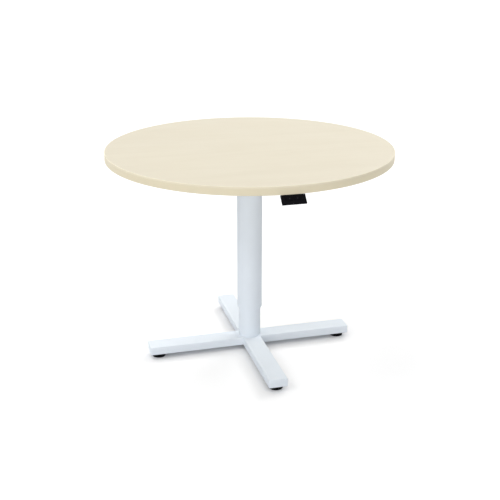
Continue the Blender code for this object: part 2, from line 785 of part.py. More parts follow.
def gear_housing():
    made = housing_shapes()
    reach = HOUSING_HEIGHT
    passage = (SPINDLE_DIAMETER - GAP) / 2
    chamber = [
        (0, HOUSING_TOP + reach),
        (COVER_DIAMETER / 2 + GAP, HOUSING_TOP + reach),
        (COVER_DIAMETER / 2 + GAP, COVER_BOTTOM - GAP),
        (CHAMBER_DIAMETER / 2, COVER_BOTTOM - GAP),
        (CHAMBER_DIAMETER / 2, WEB_TOP),
        (passage, WEB_TOP),
        (passage, HOUSING_BOTTOM + SEAT_DEPTH),
        (BEARING_DIAMETER / 2 + GAP, HOUSING_BOTTOM + SEAT_DEPTH),
        (BEARING_DIAMETER / 2 + GAP, SPIGOT_BOTTOM - reach),
        (0, SPIGOT_BOTTOM - reach),
    ]
    across = (0, math.pi / 2, 0)
    bore_end = HOUSING_REACH + MOTOR_FLANGE_THICKNESS
    bore_place = ((WORM_BORE_START + bore_end) / 2, WORM_Y, WORM_LEVEL)
    bore_length = bore_end - WORM_BORE_START
    bore_radius = WORM_BORE_DIAMETER / 2
    bore = rod("worm_bore", bore_radius, bore_length, bore_place, None, ROUND_SIDES, across)
    end_radius = WORM_SHAFT_DIAMETER / 2 + GAP
    end_length = WORM_JOURNAL_LENGTH * 1.5
    end_place = (WORM_JOURNAL_END - GAP + end_length / 2, WORM_Y, WORM_LEVEL)
    end_bore = rod("worm_end_bore", end_radius, end_length, end_place, rotation=across)
    cut(made, bore, end_bore, turned("gear_chamber", chamber))
    for name, place in corners(HEAD_SCREW_SPACING):
        middle = (place.x, place.y, HOUSING_TOP)
        radius = HEAD_SCREW_DIAMETER / 2 + GAP
        cut(made, rod(f"flange_hole_{name}", radius, HOUSING_FLANGE_THICKNESS * 3, middle))
    return weld(made)


def gear_cover():
    """The lid over the gear chamber, with the bush that guides the spindle's upper end."""
    bore = TOP_JOURNAL_DIAMETER / 2 + GAP
    radius = COVER_DIAMETER / 2
    profile = [
        (0, HOUSING_TOP),
        (radius, HOUSING_TOP),
        (radius, COVER_BOTTOM),
        (bore, COVER_BOTTOM),
        (bore, HOUSING_TOP - COVER_THICKNESS / 3),
        (0, HOUSING_TOP - COVER_THICKNESS / 3),
    ]
    return turned("gear_cover", profile, cast_aluminium())


def bearing_outer_ring():
    """The bearing's outer race, closed by its shields down to the inner race."""
    inner = JOURNAL_DIAMETER / 2 + GAP + BEARING_RACE + GAP
    outer = BEARING_DIAMETER / 2
    name = "bearing_outer_ring"
    return ring(name, outer, inner, BEARING_BOTTOM, BEARING_TOP, plain_steel(), ROUND_SIDES)


def bearing_inner_ring():
    bore = JOURNAL_DIAMETER / 2 + GAP
    return ring(
        "bearing_inner_ring",
        bore + BEARING_RACE,
        bore,
        BEARING_BOTTOM,
        BEARING_TOP,
        plain_steel(),
        ROUND_SIDES,
    )


def wheel_outline():
    """The worm wheel's tooth outline, with a gap centred on +Y."""
    tip = WHEEL_PITCH_RADIUS + TOOTH_HEIGHT
    root = WHEEL_PITCH_RADIUS - TOOTH_ROOT
    half_gap = PITCH / 4 + TOOTH_BACKLASH / 2
    half_tip = half_gap + TOOTH_HEIGHT * math.tan(FLANK_ANGLE)
    half_root = half_gap - TOOTH_ROOT * math.tan(FLANK_ANGLE)
    points = []
    for tooth in range(WHEEL_TEETH):
        middle = math.pi / 2 + tooth * 2 * math.pi / WHEEL_TEETH
        for radius, half in ((tip, -half_tip), (root, -half_root), (root, half_root), (tip, half_tip)):
            angle = middle + half / radius
            points.append((radius * math.cos(angle), radius * math.sin(angle)))
    return points


def worm_wheel():
    """A helical wheel: the tooth outline turned a little from its lower face to its upper one."""
    bm = bmesh.new()
    verts = [bm.verts.new((x, y, -WHEEL_WIDTH / 2)) for x, y in wheel_outline()]
    face = bm.faces.new(verts)
    raised = bmesh.ops.extrude_face_region(bm, geom=[face])["geom"]
    upper = [item for item in raised if isinstance(item, bmesh.types.BMVert)]
    lower = [vert for vert in bm.verts if vert not in upper]
    bmesh.ops.translate(bm, vec=(0, 0, WHEEL_WIDTH), verts=upper)
    twist = WHEEL_WIDTH / 2 * math.tan(LEAD_ANGLE) / WHEEL_PITCH_RADIUS
    bmesh.ops.rotate(bm, cent=(0, 0, 0), matrix=Matrix.Rotation(twist, 3, "Z"), verts=upper)
    bmesh.ops.rotate(bm, cent=(0, 0, 0), matrix=Matrix.Rotation(-twist, 3, "Z"), verts=lower)
    bmesh.ops.recalc_face_normals(bm, faces=bm.faces)
    middle = (0, 0, WORM_LEVEL)
    made = finish("worm_wheel", bm, bronze(), middle)
    hub = rod("wheel_hub", HUB_DIAMETER / 2, HUB_HEIGHT, middle, None, ROUND_SIDES)
    bore_radius = GEAR_SEAT_DIAMETER / 2 + GAP
    bore = rod("wheel_bore", bore_radius, HUB_HEIGHT * 2, middle, None, ROUND_SIDES)
    return cut(join(made, hub), bore)


def spindle():
    """The lift spindle: threaded length, bearing journal, gear seat and upper journal."""
    radius = SPINDLE_DIAMETER / 2
    shoulder = BEARING_BOTTOM - GAP
    gear_shoulder = WORM_LEVEL - HUB_HEIGHT / 2 - GAP
    seat_top = WORM_LEVEL + HUB_HEIGHT / 2 + GAP
    top = HOUSING_TOP - COVER_THICKNESS / 3 - GAP
    profile = [
        (0, top),
        (TOP_JOURNAL_DIAMETER / 2, top),
        (TOP_JOURNAL_DIAMETER / 2, seat_top),
        (GEAR_SEAT_DIAMETER / 2, seat_top),
        (GEAR_SEAT_DIAMETER / 2, gear_shoulder),
        (JOURNAL_DIAMETER / 2, gear_shoulder),
        (JOURNAL_DIAMETER / 2, shoulder),
        (radius, shoulder),
        (radius, SPINDLE_BOTTOM + SPINDLE_CHAMFER),
        (radius - SPINDLE_CHAMFER, SPINDLE_BOTTOM),
        (0, SPINDLE_BOTTOM),
    ]
    return turned("spindle", profile, plain_steel())


def worm_thread():
    """The mesh of one start of thread, wound up along Z from a starting point on the +X side."""
    tip = WORM_PITCH_RADIUS + TOOTH_HEIGHT
    sunk = WORM_PITCH_RADIUS - TOOTH_ROOT - TOOTH_BACKLASH
    half = PITCH / 4 - TOOTH_BACKLASH / 2
    half_tip = half - TOOTH_HEIGHT * math.tan(FLANK_ANGLE)
    half_root = half + (WORM_PITCH_RADIUS - sunk) * math.tan(FLANK_ANGLE)
    bm = bmesh.new()
    start = -WORM_TURNS * PITCH / 2
    profile = [(tip, half_tip), (tip, -half_tip), (sunk, -half_root), (sunk, half_root)]
    points = [bm.verts.new((radius, 0, start + height)) for radius, height in profile]
    for first, second in zip(points, points[1:] + points[:1]):
        bm.edges.new((first, second))
    drawn = finish("worm_thread_profile", bm)
    screw = drawn.modifiers.new("thread", "SCREW")
    screw.axis = "Z"
    screw.screw_offset = PITCH
    screw.iterations = WORM_TURNS
    screw.steps = WORM_STEPS_PER_TURN
    screw.render_steps = WORM_STEPS_PER_TURN
    screw.use_merge_vertices = False
    mesh = solid_mesh(drawn)
    bpy.data.objects.remove(drawn)
    bm = bmesh.new()
    bm.from_mesh(mesh)
    ends = [edge for edge in bm.edges if edge.is_boundary]
    bmesh.ops.holes_fill(bm, edges=ends, sides=4)
    bmesh.ops.recalc_face_normals(bm, faces=bm.faces)
    bm.to_mesh(mesh)
    bm.free()
    return mesh


def worm_shaft():
    """The motor's worm: its shaft runs from the housing's end bore into the motor's front bearing."""
    root = WORM_PITCH_RADIUS - TOOTH_ROOT
    shaft_end = HOUSING_REACH + MOTOR_BORE_DEPTH
    journal = WORM_SHAFT_DIAMETER / 2
    profile = [
        (0, shaft_end),
        (journal, shaft_end),
        (journal, WORM_HALF_LENGTH),
        (root, WORM_HALF_LENGTH),
        (root, -WORM_HALF_LENGTH),
        (journal, -WORM_HALF_LENGTH),
        (journal, WORM_JOURNAL_END),
        (0, WORM_JOURNAL_END),
    ]
    place = (0, WORM_Y, WORM_LEVEL)
    laid = (0, math.pi / 2, 0)
    made = turned("worm_shaft", profile, plain_steel(), place, SMALL_SIDES, laid)
    quarter = math.pi / 2 if WORM_TURNS % 2 else -math.pi / 2
    facing_wheel = (quarter, 0, quarter)
    return join(made, mesh_object("worm_thread", worm_thread(), None, place, facing_wheel))


def motor_can():
    """The motor's steel can along X, with a bore for the worm's shaft and a crimp near its cap."""
    radius = MOTOR_DIAMETER / 2
    bore = WORM_SHAFT_DIAMETER / 2 + GAP
    groove = MOTOR_EDGE * 3
    profile = [
        (0, MOTOR_LENGTH),
        (radius - MOTOR_EDGE, MOTOR_LENGTH),
        (radius, MOTOR_LENGTH - MOTOR_EDGE),
        (radius, MOTOR_LENGTH - groove),
        (radius - MOTOR_GROOVE, MOTOR_LENGTH - groove - MOTOR_GROOVE),
        (radius, MOTOR_LENGTH - groove - 2 * MOTOR_GROOVE),
        (radius, MOTOR_EDGE),
        (radius - MOTOR_EDGE, 0),
        (bore, 0),
        (bore, MOTOR_BORE_DEPTH),
        (0, MOTOR_BORE_DEPTH),
    ]
    place = (HOUSING_REACH + GAP, WORM_Y, WORM_LEVEL)
    return turned("motor_can", profile, zinc_steel(), place, rotation=(0, math.pi / 2, 0))


def motor_cap():
    """The motor's plastic end cap, with the slot for its lead's connector."""
    radius = MOTOR_DIAMETER / 2 - MOTOR_EDGE / 2
    start = HOUSING_REACH + 2 * GAP + MOTOR_LENGTH
    profile = [
        (0, MOTOR_CAP_LENGTH),
        (radius - 2 * MOTOR_EDGE, MOTOR_CAP_LENGTH),
        (radius - MOTOR_EDGE / 2, MOTOR_CAP_LENGTH - MOTOR_EDGE / 2),
        (radius, MOTOR_CAP_LENGTH - 2 * MOTOR_EDGE),
        (radius, 0),
        (0, 0),
    ]
    place = (start, WORM_Y, WORM_LEVEL)
    made = turned("motor_cap", profile, black_plastic(), place, rotation=(0, math.pi / 2, 0))
    size = (MOTOR_CAP_LENGTH, LEAD_SLOT_WIDTH, LEAD_SLOT_HEIGHT)
    end = (start + MOTOR_CAP_LENGTH, WORM_Y, WORM_LEVEL)
    return cut(made, bar("motor_lead_slot", size, end))


# Frame under the tabletop
def head_plate():
    size = (HEAD_PLATE_SIZE, HEAD_PLATE_SIZE, HEAD_PLATE_THICKNESS)
    middle = (0, 0, HEAD_PLATE_BOTTOM + HEAD_PLATE_THICKNESS / 2)
    made = bar("head_plate", size, middle, white_powder_coat(), HEAD_PLATE_CORNER, 2)
    for name, place in corners(HEAD_SCREW_SPACING):
        radius = HEAD_SCREW_DIAMETER / 2
        hole = (place.x, place.y, middle[2])
        cut(made, rod(f"plate_hole_{name}", radius, HEAD_PLATE_THICKNESS * 3, hole))
    return made


def channel(name, start, end, both_ways, turn):
    """A folded channel, open below, from start to end along its own X, with its sides tapered outwards."""
    drop = FRAME_HEIGHT
    tip = FRAME_TIP_HEIGHT
    level = FRAME_LEVEL_LENGTH
    outline = [(start, 0), (start, -drop), (level, -drop), (end, -tip), (end, 0)]
    if both_ways:
        outline = [(-end, 0), (-end, -tip), (-level, -drop), (level, -drop), (end, -tip), (end, 0)]
    place = (0, 0, FRAME_TOP)
    upright = (math.pi / 2, 0, turn)
    made = slab(name, outline, FRAME_WIDTH, white_powder_coat(), place, upright)
    size = (4 * FRAME_SPAN, FRAME_WIDTH - 2 * FRAME_SHEET, 2 * FRAME_HEIGHT)
    hollow_place = (0, 0, FRAME_TOP - FRAME_SHEET - FRAME_HEIGHT)
    return cut(made, bar(f"{name}_hollow", size, hollow_place, rotation=(0, 0, turn)))


def frame_screw_holes(made, direction):
    for place in FRAME_SCREW_PLACES:
        spot = direction * place
        where = (spot.x, spot.y, FRAME_TOP)
        name = f"{made.name}_hole_{round(spot.x * 1000)}_{round(spot.y * 1000)}"
        cut(made, rod(name, FRAME_SCREW_HOLE / 2, 4 * FRAME_SHEET, where))


def frame_long_bar():
    made = channel("frame_long_bar", 0, FRAME_SPAN / 2, True, 0)
    frame_screw_holes(made, ARM_DIRECTIONS["left"])
    frame_screw_holes(made, ARM_DIRECTIONS["right"])
    return made


def frame_short_arm(side):
    direction = ARM_DIRECTIONS[side]
    turn = math.atan2(direction.y, direction.x)
    start = FRAME_WIDTH / 2 + GAP
    made = channel(f"frame_{side}_arm", start, FRAME_SPAN / 2, False, turn)
    frame_screw_holes(made, direction)
    return made


# Tabletop
def tabletop():
    radius = TOP_RADIUS - EDGE_BAND_THICKNESS - GAP
    middle = (0, 0, UNDERSIDE + TOP_THICKNESS / 2)
    return rod("tabletop", radius, TOP_THICKNESS, middle, pale_maple_laminate(), TOP_SIDES)


def edge_band():
    """The band round the tabletop's edge, with its two outer arrises rounded."""
    inner = TOP_RADIUS - EDGE_BAND_THICKNESS
    centre = TOP_RADIUS - EDGE_ARRIS
    steps = [step / EDGE_STEPS * math.pi / 2 for step in range(EDGE_STEPS + 1)]
    upper = [
        (centre + EDGE_ARRIS * math.sin(a), TABLE_HEIGHT - EDGE_ARRIS * (1 - math.cos(a)))
        for a in steps
    ]
    lower = [
        (centre + EDGE_ARRIS * math.cos(a), UNDERSIDE + EDGE_ARRIS * (1 - math.sin(a)))
        for a in steps
    ]
    profile = [(inner, TABLE_HEIGHT)] + upper + lower + [(inner, UNDERSIDE)]
    return turned("edge_band", profile, maple_edge(), sides=TOP_SIDES)


# Control panel
def on_face(along_slope, depth, x=0):
    """A point on the sloped face: so far up the slope from its nose, and so far in under the face."""
    slope = Vector((0, math.cos(PANEL_SLOPE), math.sin(PANEL_SLOPE)))
    inward = Vector((0, math.sin(PANEL_SLOPE), -math.cos(PANEL_SLOPE)))
    return Vector((x, PANEL_NOSE_Y, PANEL_NOSE_Z)) + slope * along_slope + inward * depth


def wedge(name, width, nose, floor, roof, back, material=None):
    """A wedge across X, with its sloped side starting at the nose, given from the panel's own nose."""
    run = (roof - floor) / math.tan(PANEL_SLOPE)
    outline = [(nose, floor), (back, floor), (back, roof), (nose + run, roof)]
    place = (0, PANEL_NOSE_Y, PANEL_NOSE_Z)
    return slab(name, outline, width, material, place, (math.pi / 2, 0, math.pi / 2))


def face_block(name, size, along_slope, depth, x=0, material=None, corner=0):
    """A block laid parallel to the sloped face."""
    place = on_face(along_slope, depth, x)
    return bar(name, size, place, material, corner, 2, (PANEL_SLOPE, 0, 0))


def panel_shell():
    """The panel's housing: a face plate with two button windows, on a wedge that is open towards the top."""
    size = (PANEL_WIDTH, PANEL_FACE_LENGTH, PANEL_FACE_THICKNESS)
    sunk = PANEL_FACE_THICKNESS / 2
    made = face_block(
        "panel_shell", size, PANEL_FACE_LENGTH / 2, sunk, 0, black_plastic(), PANEL_CORNER
    )
    nose = sunk / math.sin(PANEL_SLOPE)
    join(made, wedge("panel_body", PANEL_BODY_WIDTH, nose, 0, PANEL_HEIGHT, PANEL_DEPTH))
    width = PANEL_BODY_WIDTH - 2 * PANEL_WALL
    roof = PANEL_HEIGHT * 1.5
    back = PANEL_DEPTH - PANEL_WALL
    cut(made, wedge("panel_hollow", width, PANEL_INNER_NOSE, PANEL_WALL, roof, back))
    post_depth = BOARD_DEPTH + BOARD_THICKNESS + GAP + BOARD_THICKNESS / 2
    for side in (-1, 1):
        x = side * (PANEL_BODY_WIDTH / 2 - PANEL_WALL - PANEL_BOARD_POST / 2 + GAP)
        size = (PANEL_BOARD_POST, PANEL_BOARD_LENGTH, BOARD_THICKNESS)
        post = face_block(f"panel_post_{side}", size, BUTTON_PLACE, post_depth, x)
        join(made, post)
        window = (BUTTON_WIDTH + 2 * GAP, BUTTON_LENGTH + 2 * GAP, PANEL_FACE_THICKNESS * 3)
        at = side * BUTTON_SPACING / 2
        name = f"button_window_{side}"
        cut(made, face_block(name, window, BUTTON_PLACE, 0, at, corner=BUTTON_ROUNDING))
    slot = (LEAD_SLOT_WIDTH, PANEL_WALL * 4, LEAD_SLOT_HEIGHT)
    slot_place = (0, PANEL_NOSE_Y + PANEL_DEPTH, PANEL_NOSE_Z + PANEL_HEIGHT / 2)
    return cut(made, bar("panel_lead_slot", slot, slot_place))


def panel_plate():
    """The plate that closes the panel's top and is screwed to the tabletop."""
    level = PANEL_HEIGHT - PANEL_WALL / 2
    run = (PANEL_HEIGHT - PANEL_WALL) / math.tan(PANEL_SLOPE)
    front = PANEL_INNER_NOSE + run + GAP
    back = PANEL_DEPTH - PANEL_WALL - GAP
    size = (PANEL_BODY_WIDTH - 2 * (PANEL_WALL + GAP), back - front, PANEL_WALL)
    middle = (0, PANEL_NOSE_Y + (front + back) / 2, PANEL_NOSE_Z + level)
    return bar("panel_plate", size, middle, zinc_steel())


def panel_board():
    """The panel's circuit board, with a switch under each button."""
    size = (PANEL_BOARD_WIDTH, PANEL_BOARD_LENGTH, BOARD_THICKNESS)
    depth = BOARD_DEPTH + BOARD_THICKNESS / 2
    made = face_block("panel_board", size, BUTTON_PLACE, depth, 0, circuit_green())
    for side in (-1, 1):
        switch = (SWITCH_SIZE, SWITCH_SIZE, SWITCH_HEIGHT * 2)
        at = side * BUTTON_SPACING / 2
        join(made, face_block(f"switch_{side}", switch, BUTTON_PLACE, BOARD_DEPTH, at))
    return made


def push_button(name, side):
    """A button whose cap stands in its window and whose rim stops against the panel's face from inside."""
    at = side * BUTTON_SPACING / 2
    rim_depth = BUTTON_DEPTH - BUTTON_RIM_THICKNESS / 2
    cap = (BUTTON_WIDTH, BUTTON_LENGTH, rim_depth + BUTTON_PROUD)
    middle = (rim_depth - BUTTON_PROUD) / 2
    made = face_block(name, cap, BUTTON_PLACE, middle, at, black_plastic(), BUTTON_ROUNDING)
    rim = (BUTTON_WIDTH + 2 * BUTTON_RIM, BUTTON_LENGTH + 2 * BUTTON_RIM, BUTTON_RIM_THICKNESS)
    return join(made, face_block(f"{name}_rim", rim, BUTTON_PLACE, rim_depth, at))


# Control box
def box_point(x, y, z):
    """A point measured from the middle of the control box's floor."""
    return Vector((BOX_CENTRE_X + x, BOX_CENTRE_Y + y, BOX_BOTTOM + z))


def board_posts():
    """Where the control box's board stands, as x and y from the box's middle."""
    half_x = BOX_BOARD_LENGTH / 2 - BOX_STANDOFF_DIAMETER
    half_y = BOX_WIDTH / 2 - BOX_WALL - BOX_BOARD_MARGIN - BOX_STANDOFF_DIAMETER
    shift = board_shift()
    return [(shift + x, y) for x in (-half_x, half_x) for y in (-half_y, half_y)]


def board_shift():
    """How far the board stands to the right of the box's middle, which leaves room for the inlet."""
    return BOX_LENGTH / 2 - BOX_WALL - BOX_BOARD_MARGIN - BOX_BOARD_LENGTH / 2


def control_box_shell():
    """A moulded tray, open towards the tabletop, with vents, board posts and the inlet's window."""
    size = (BOX_LENGTH, BOX_WIDTH, BOX_HEIGHT - BOX_PLATE_THICKNESS - GAP)
    made = bar(
        "control_box_shell", size, box_point(0, 0, size[2] / 2), black_plastic(), BOX_CORNER, 2
    )
    inner = (BOX_LENGTH - 2 * BOX_WALL, BOX_WIDTH - 2 * BOX_WALL, BOX_HEIGHT * 2)
    inner_place = box_point(0, 0, BOX_WALL + BOX_HEIGHT)
    hollow = bar("box_hollow", inner, inner_place, None, BOX_CORNER - BOX_WALL, 2)
    cut(made, hollow)
    for number, (x, y) in enumerate(board_posts()):
        height = BOX_STANDOFF + BOX_WALL / 2
        place = box_point(x, y, BOX_WALL / 2 + height / 2)
        join(made, rod(f"box_post_{number}", BOX_STANDOFF_DIAMETER / 2, height, place))
    for number in range(VENT_COUNT):
        x = (number - (VENT_COUNT - 1) / 2) * VENT_PITCH + board_shift()
        vent = (VENT_WIDTH, BOX_WIDTH * 2, VENT_HEIGHT)
        place = box_point(x, 0, BOX_HEIGHT / 2)
        cut(made, bar(f"vent_{number}", vent, place))
    window = (BOX_WALL * 4, INLET_WIDTH + 2 * GAP, INLET_HEIGHT + 2 * GAP)
    cut(made, bar("inlet_window", window, inlet_point(0, 0)))
    slot = (BOX_WALL * 4, LEAD_SLOT_WIDTH, LEAD_SLOT_HEIGHT)
    for side in (-1, 1):
        y = side * (INLET_WIDTH / 2 + INLET_FLANGE + LEAD_SLOT_WIDTH)
        cut(made, bar(f"box_lead_slot_{side}", slot, inlet_point(y, 0)))
    return made


def control_box_plate():
    """The folded steel plate that closes the box's top, with an ear at each end for its screws."""
    level = BOX_HEIGHT - BOX_PLATE_THICKNESS / 2
    half_length = BOX_LENGTH / 2
    half_width = BOX_WIDTH / 2
    quarter = [
        (half_length + BOX_EAR, BOX_EAR_WIDTH / 2 - BOX_CORNER),
        (half_length + BOX_EAR - BOX_CORNER, BOX_EAR_WIDTH / 2),
        (half_length, BOX_EAR_WIDTH / 2 + BOX_EAR_TAPER),
        (half_length, half_width - BOX_CORNER),
        (half_length - BOX_CORNER, half_width),
    ]
    upper = quarter + [(-x, y) for x, y in reversed(quarter)]
    outline = upper + [(x, -y) for x, y in reversed(upper)]
    place = box_point(0, 0, level)
    made = slab("control_box_plate", outline, BOX_PLATE_THICKNESS, zinc_steel(), place)
    for side in (-1, 1):
        x = side * (BOX_LENGTH + BOX_EAR) / 2
        for end in (-1, 1):
            y = end * BOX_EAR_WIDTH / 3
            hole = f"ear_hole_{side}_{end}"
            place = box_point(x, y, level)
            cut(made, rod(hole, BOX_EAR_HOLE / 2, BOX_PLATE_THICKNESS * 4, place))
    return made


def control_board():
    """The control box's board with its transformer, capacitors and heat sink."""
    level = BOX_WALL + BOX_STANDOFF + GAP
    width = BOX_WIDTH - 2 * (BOX_WALL + BOX_BOARD_MARGIN)
    size = (BOX_BOARD_LENGTH, width, BOARD_THICKNESS)
    shift = board_shift()
    middle = box_point(shift, 0, level + BOARD_THICKNESS / 2)
    made = bar("control_board", size, middle, circuit_green())
    room = BOX_HEIGHT - BOX_PLATE_THICKNESS - level - BOARD_THICKNESS
    sunk = BOARD_THICKNESS / 2
    blocks = (
        ("transformer", shift + BOX_BOARD_LENGTH / 4, 0, 0.034, 0.040, 0.85),
        ("heat_sink", shift, width / 3, 0.030, 0.008, 0.75),
        ("relay", shift - BOX_BOARD_LENGTH / 5, -width / 4, 0.018, 0.012, 0.6),
    )
    for name, x, y, length, across, share in blocks:
        height = room * share + sunk
        place = box_point(x, y, level + BOARD_THICKNESS - sunk + height / 2)
        join(made, bar(f"board_{name}", (length, across, height), place))
    capacitor = 0.0065
    for number in range(2):
        height = room * 0.8 + sunk
        x = shift - BOX_BOARD_LENGTH / 2.6 + number * 3 * capacitor
        place = box_point(x, width / 5, level + BOARD_THICKNESS - sunk + height / 2)
        join(made, rod(f"board_capacitor_{number}", capacitor, height, place))
    return made


def inlet_point(y, z):
    """A point on the box's left end, measured from the inlet's middle."""
    return Vector((BOX_LEFT, BOX_CENTRE_Y + y, BOX_BOTTOM + BOX_HEIGHT / 2 + z))


def mains_inlet():
    """The mains inlet: a flanged socket, with its three pins standing in it."""
    start = BOX_LEFT - GAP
    flange = (
        INLET_FLANGE_THICKNESS,
        INLET_WIDTH + 2 * INLET_FLANGE,
        INLET_HEIGHT + 2 * INLET_FLANGE,
    )
    level = inlet_point(0, 0)
    flange_place = (start - INLET_FLANGE_THICKNESS / 2, level.y, level.z)
    made = bar("mains_inlet", flange, flange_place, black_plastic(), BOX_CORNER / 3, 0)
    mouth = start - INLET_FLANGE_THICKNESS
    body_start = start - INLET_FLANGE_THICKNESS / 2
    body_end = mouth + INLET_DEPTH
    body = (body_end - body_start, INLET_WIDTH, INLET_HEIGHT)
    body_place = ((body_start + body_end) / 2, level.y, level.z)
    join(made, bar("inlet_body", body, body_place))
    well_end = body_end - INLET_BACK
    well_start = mouth - INLET_DEPTH
    well = (
        well_end - well_start,
        INLET_WIDTH - 2 * INLET_WALL,
        INLET_HEIGHT - 2 * INLET_WALL,
    )
    well_place = ((well_start + well_end) / 2, level.y, level.z)
    cut(made, bar("inlet_well", well, well_place, None, BOX_WALL, 0))
    pins = ((-PIN_SPREAD, -PIN_STEP / 2), (0, PIN_STEP / 2), (PIN_SPREAD, -PIN_STEP / 2))
    for number, (y, z) in enumerate(pins):
        sunk = INLET_BACK / 2
        size = (PIN_LENGTH + sunk, PIN_WIDTH, PIN_HEIGHT)
        middle = (well_end + sunk - size[0] / 2, level.y + y, level.z + z)
        join(made, bar(f"inlet_pin_{number}", size, middle))
    return made


# Assembly
def build_base():
    base_long_bar()
    base_short_arm("front")
    base_short_arm("back")
    foot_plate()
    for name, place in corners(FOOT_BOLT_CIRCLE / math.sqrt(2)):
        foot_bolt(name, place)
        bolt_sleeve(name, place)
    lower_tube()
    upper_guide_bush()
    nut_carrier()
    spindle_nut()
    for side, direction in ARM_DIRECTIONS.items():
        end_plate(side)
        glide_nut(side)
        screw = joint(f"glide_{side}_screw", (*(direction * GLIDE_REACH).xy, 0))
        carry(screw, glide_pad(side), glide_stud(side))


def build_drive(lift):
    carry(lift, gear_housing(), gear_cover(), bearing_outer_ring(), motor_can(), motor_cap())
    turning = joint("spindle_spin", (0, 0, BEARING_BOTTOM), lift)
    carry(turning, spindle(), bearing_inner_ring(), worm_wheel())
    worm_turning = joint("worm_spin", (0, WORM_Y, WORM_LEVEL), lift)
    carry(worm_turning, worm_shaft())


def build_top(lift):
    carry(lift, upper_tube(), lower_guide_ring(), head_plate(), frame_long_bar())
    carry(lift, frame_short_arm("front"), frame_short_arm("back"), tabletop(), edge_band())
    carry(lift, control_box_shell(), control_box_plate(), control_board(), mains_inlet())
    carry(lift, panel_shell(), panel_plate(), panel_board())
    for name, side in (("button_up", -1), ("button_down", 1)):
        press = joint(f"{name}_press", on_face(BUTTON_PLACE, 0, side * BUTTON_SPACING / 2), lift)
        carry(press, push_button(name, side))


def main():
    build_base()
    lift = joint("column_lift", (0, 0, UPPER_TUBE_BOTTOM))
    build_drive(lift)
    build_top(lift)


main()
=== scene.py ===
"""The looks of a round height-adjustable conference table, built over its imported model."""

import math

import bmesh
import bpy
from bpy.props import FloatProperty, FloatVectorProperty, IntProperty, PointerProperty
from mathutils import Matrix, Vector


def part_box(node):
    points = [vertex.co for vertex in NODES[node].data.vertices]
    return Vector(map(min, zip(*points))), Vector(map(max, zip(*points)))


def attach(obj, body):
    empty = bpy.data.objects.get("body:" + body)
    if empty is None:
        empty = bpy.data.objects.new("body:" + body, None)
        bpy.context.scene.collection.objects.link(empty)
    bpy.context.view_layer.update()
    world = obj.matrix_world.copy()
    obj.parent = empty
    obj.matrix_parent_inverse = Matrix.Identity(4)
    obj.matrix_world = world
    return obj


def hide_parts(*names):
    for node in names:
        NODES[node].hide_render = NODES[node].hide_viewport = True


bl_info = {
    "name": "Conference Table Looks",
    "version": (1, 0, 0),
    "blender": (4, 5, 0),
    "location": "3D View > Sidebar > Table",
    "description": "Models the visible pieces, finishes and studio of a height-adjustable conference table",
    "category": "Object",
}

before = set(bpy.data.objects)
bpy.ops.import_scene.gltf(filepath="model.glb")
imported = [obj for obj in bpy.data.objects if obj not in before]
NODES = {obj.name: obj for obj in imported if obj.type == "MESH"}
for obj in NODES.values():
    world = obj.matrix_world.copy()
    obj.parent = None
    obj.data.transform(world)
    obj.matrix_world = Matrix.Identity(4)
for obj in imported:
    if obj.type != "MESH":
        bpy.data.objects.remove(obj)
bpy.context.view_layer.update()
SIDES = ("left", "right", "front", "back")
QUARTERS = ("front_left", "back_left", "front_right", "back_right")
# The clearance that neighbouring solids keep
SOLID_GAP = 0.0003
# How steeply the hand panel's front slopes down from the level
PANEL_SLOPE = math.radians(45)
# Points nearer to each other than this are one point
MERGE_DISTANCE = 0.00001
# Triangles that meet at less than this are one face
FLAT_ANGLE = math.radians(0.5)
# Edges blunter than this are shaded smooth
SMOOTH_ANGLE = math.radians(35)


def middle(node):
    """The middle of a solid's box."""
    low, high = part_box(node)
    return (Vector(low) + Vector(high)) / 2


def spread(node):
    """The lengths of a solid's box."""
    low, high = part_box(node)
    return Vector(high) - Vector(low)


# Settings
class TableSizes(bpy.types.PropertyGroup):
    """Sizes that the solids leave open."""

    board_gap: FloatProperty(
        name="Board Gap",
        description="Joint between the tabletop and its edge band",
        default=0.00003,
        unit="LENGTH",
    )
    band_arris: FloatProperty(
        name="Band Arris",
        description="Rounding of the edge band's two outer edges",
        default=0.0018,
        unit="LENGTH",
    )
    arm_rounding: FloatProperty(
        name="Arm Rounding",
        description="Corner radius of the rectangular tube of the base",
        default=0.0025,
        unit="LENGTH",
    )
    end_rounding: FloatProperty(
        name="End Rounding",
        description="Rounding of the ground welds round the arms' closed ends",
        default=0.0009,
        unit="LENGTH",
    )
    tube_edge: FloatProperty(
        name="Tube Edge",
        description="Rounding of the cut ends of the column's tubes",
        default=0.0006,
        unit="LENGTH",
    )
    box_rounding: FloatProperty(
        name="Box Rounding",
        description="Rounding of the control box's moulded edges",
        default=0.0008,
        unit="LENGTH",
    )
    round_sides: IntProperty(
        name="Round Sides",
        description="Number of sides of the largest turned pieces",
        default=192,
        min=24,
    )


class TableColours(bpy.types.PropertyGroup):
    """Colours of the finishes, as linear values."""

    laminate: FloatVectorProperty(
        name="Laminate",
        description="Mean colour of the pale maple laminate",
        default=(0.657, 0.604, 0.480),
        size=3,
        subtype="COLOR",
    )
    edge: FloatVectorProperty(
        name="Edge Band",
        description="Mean colour of the maple edge band",
        default=(0.791, 0.715, 0.531),
        size=3,
        subtype="COLOR",
    )
    coat: FloatVectorProperty(
        name="Powder Coat",
        description="Colour of the white powder coat",
        default=(0.862, 0.925, 0.995),
        size=3,
        subtype="COLOR",
    )
    black: FloatVectorProperty(
        name="Black Plastic",
        description="Colour of the black mouldings",
        default=(0.0035, 0.0032, 0.0045),
        size=3,
        subtype="COLOR",
    )


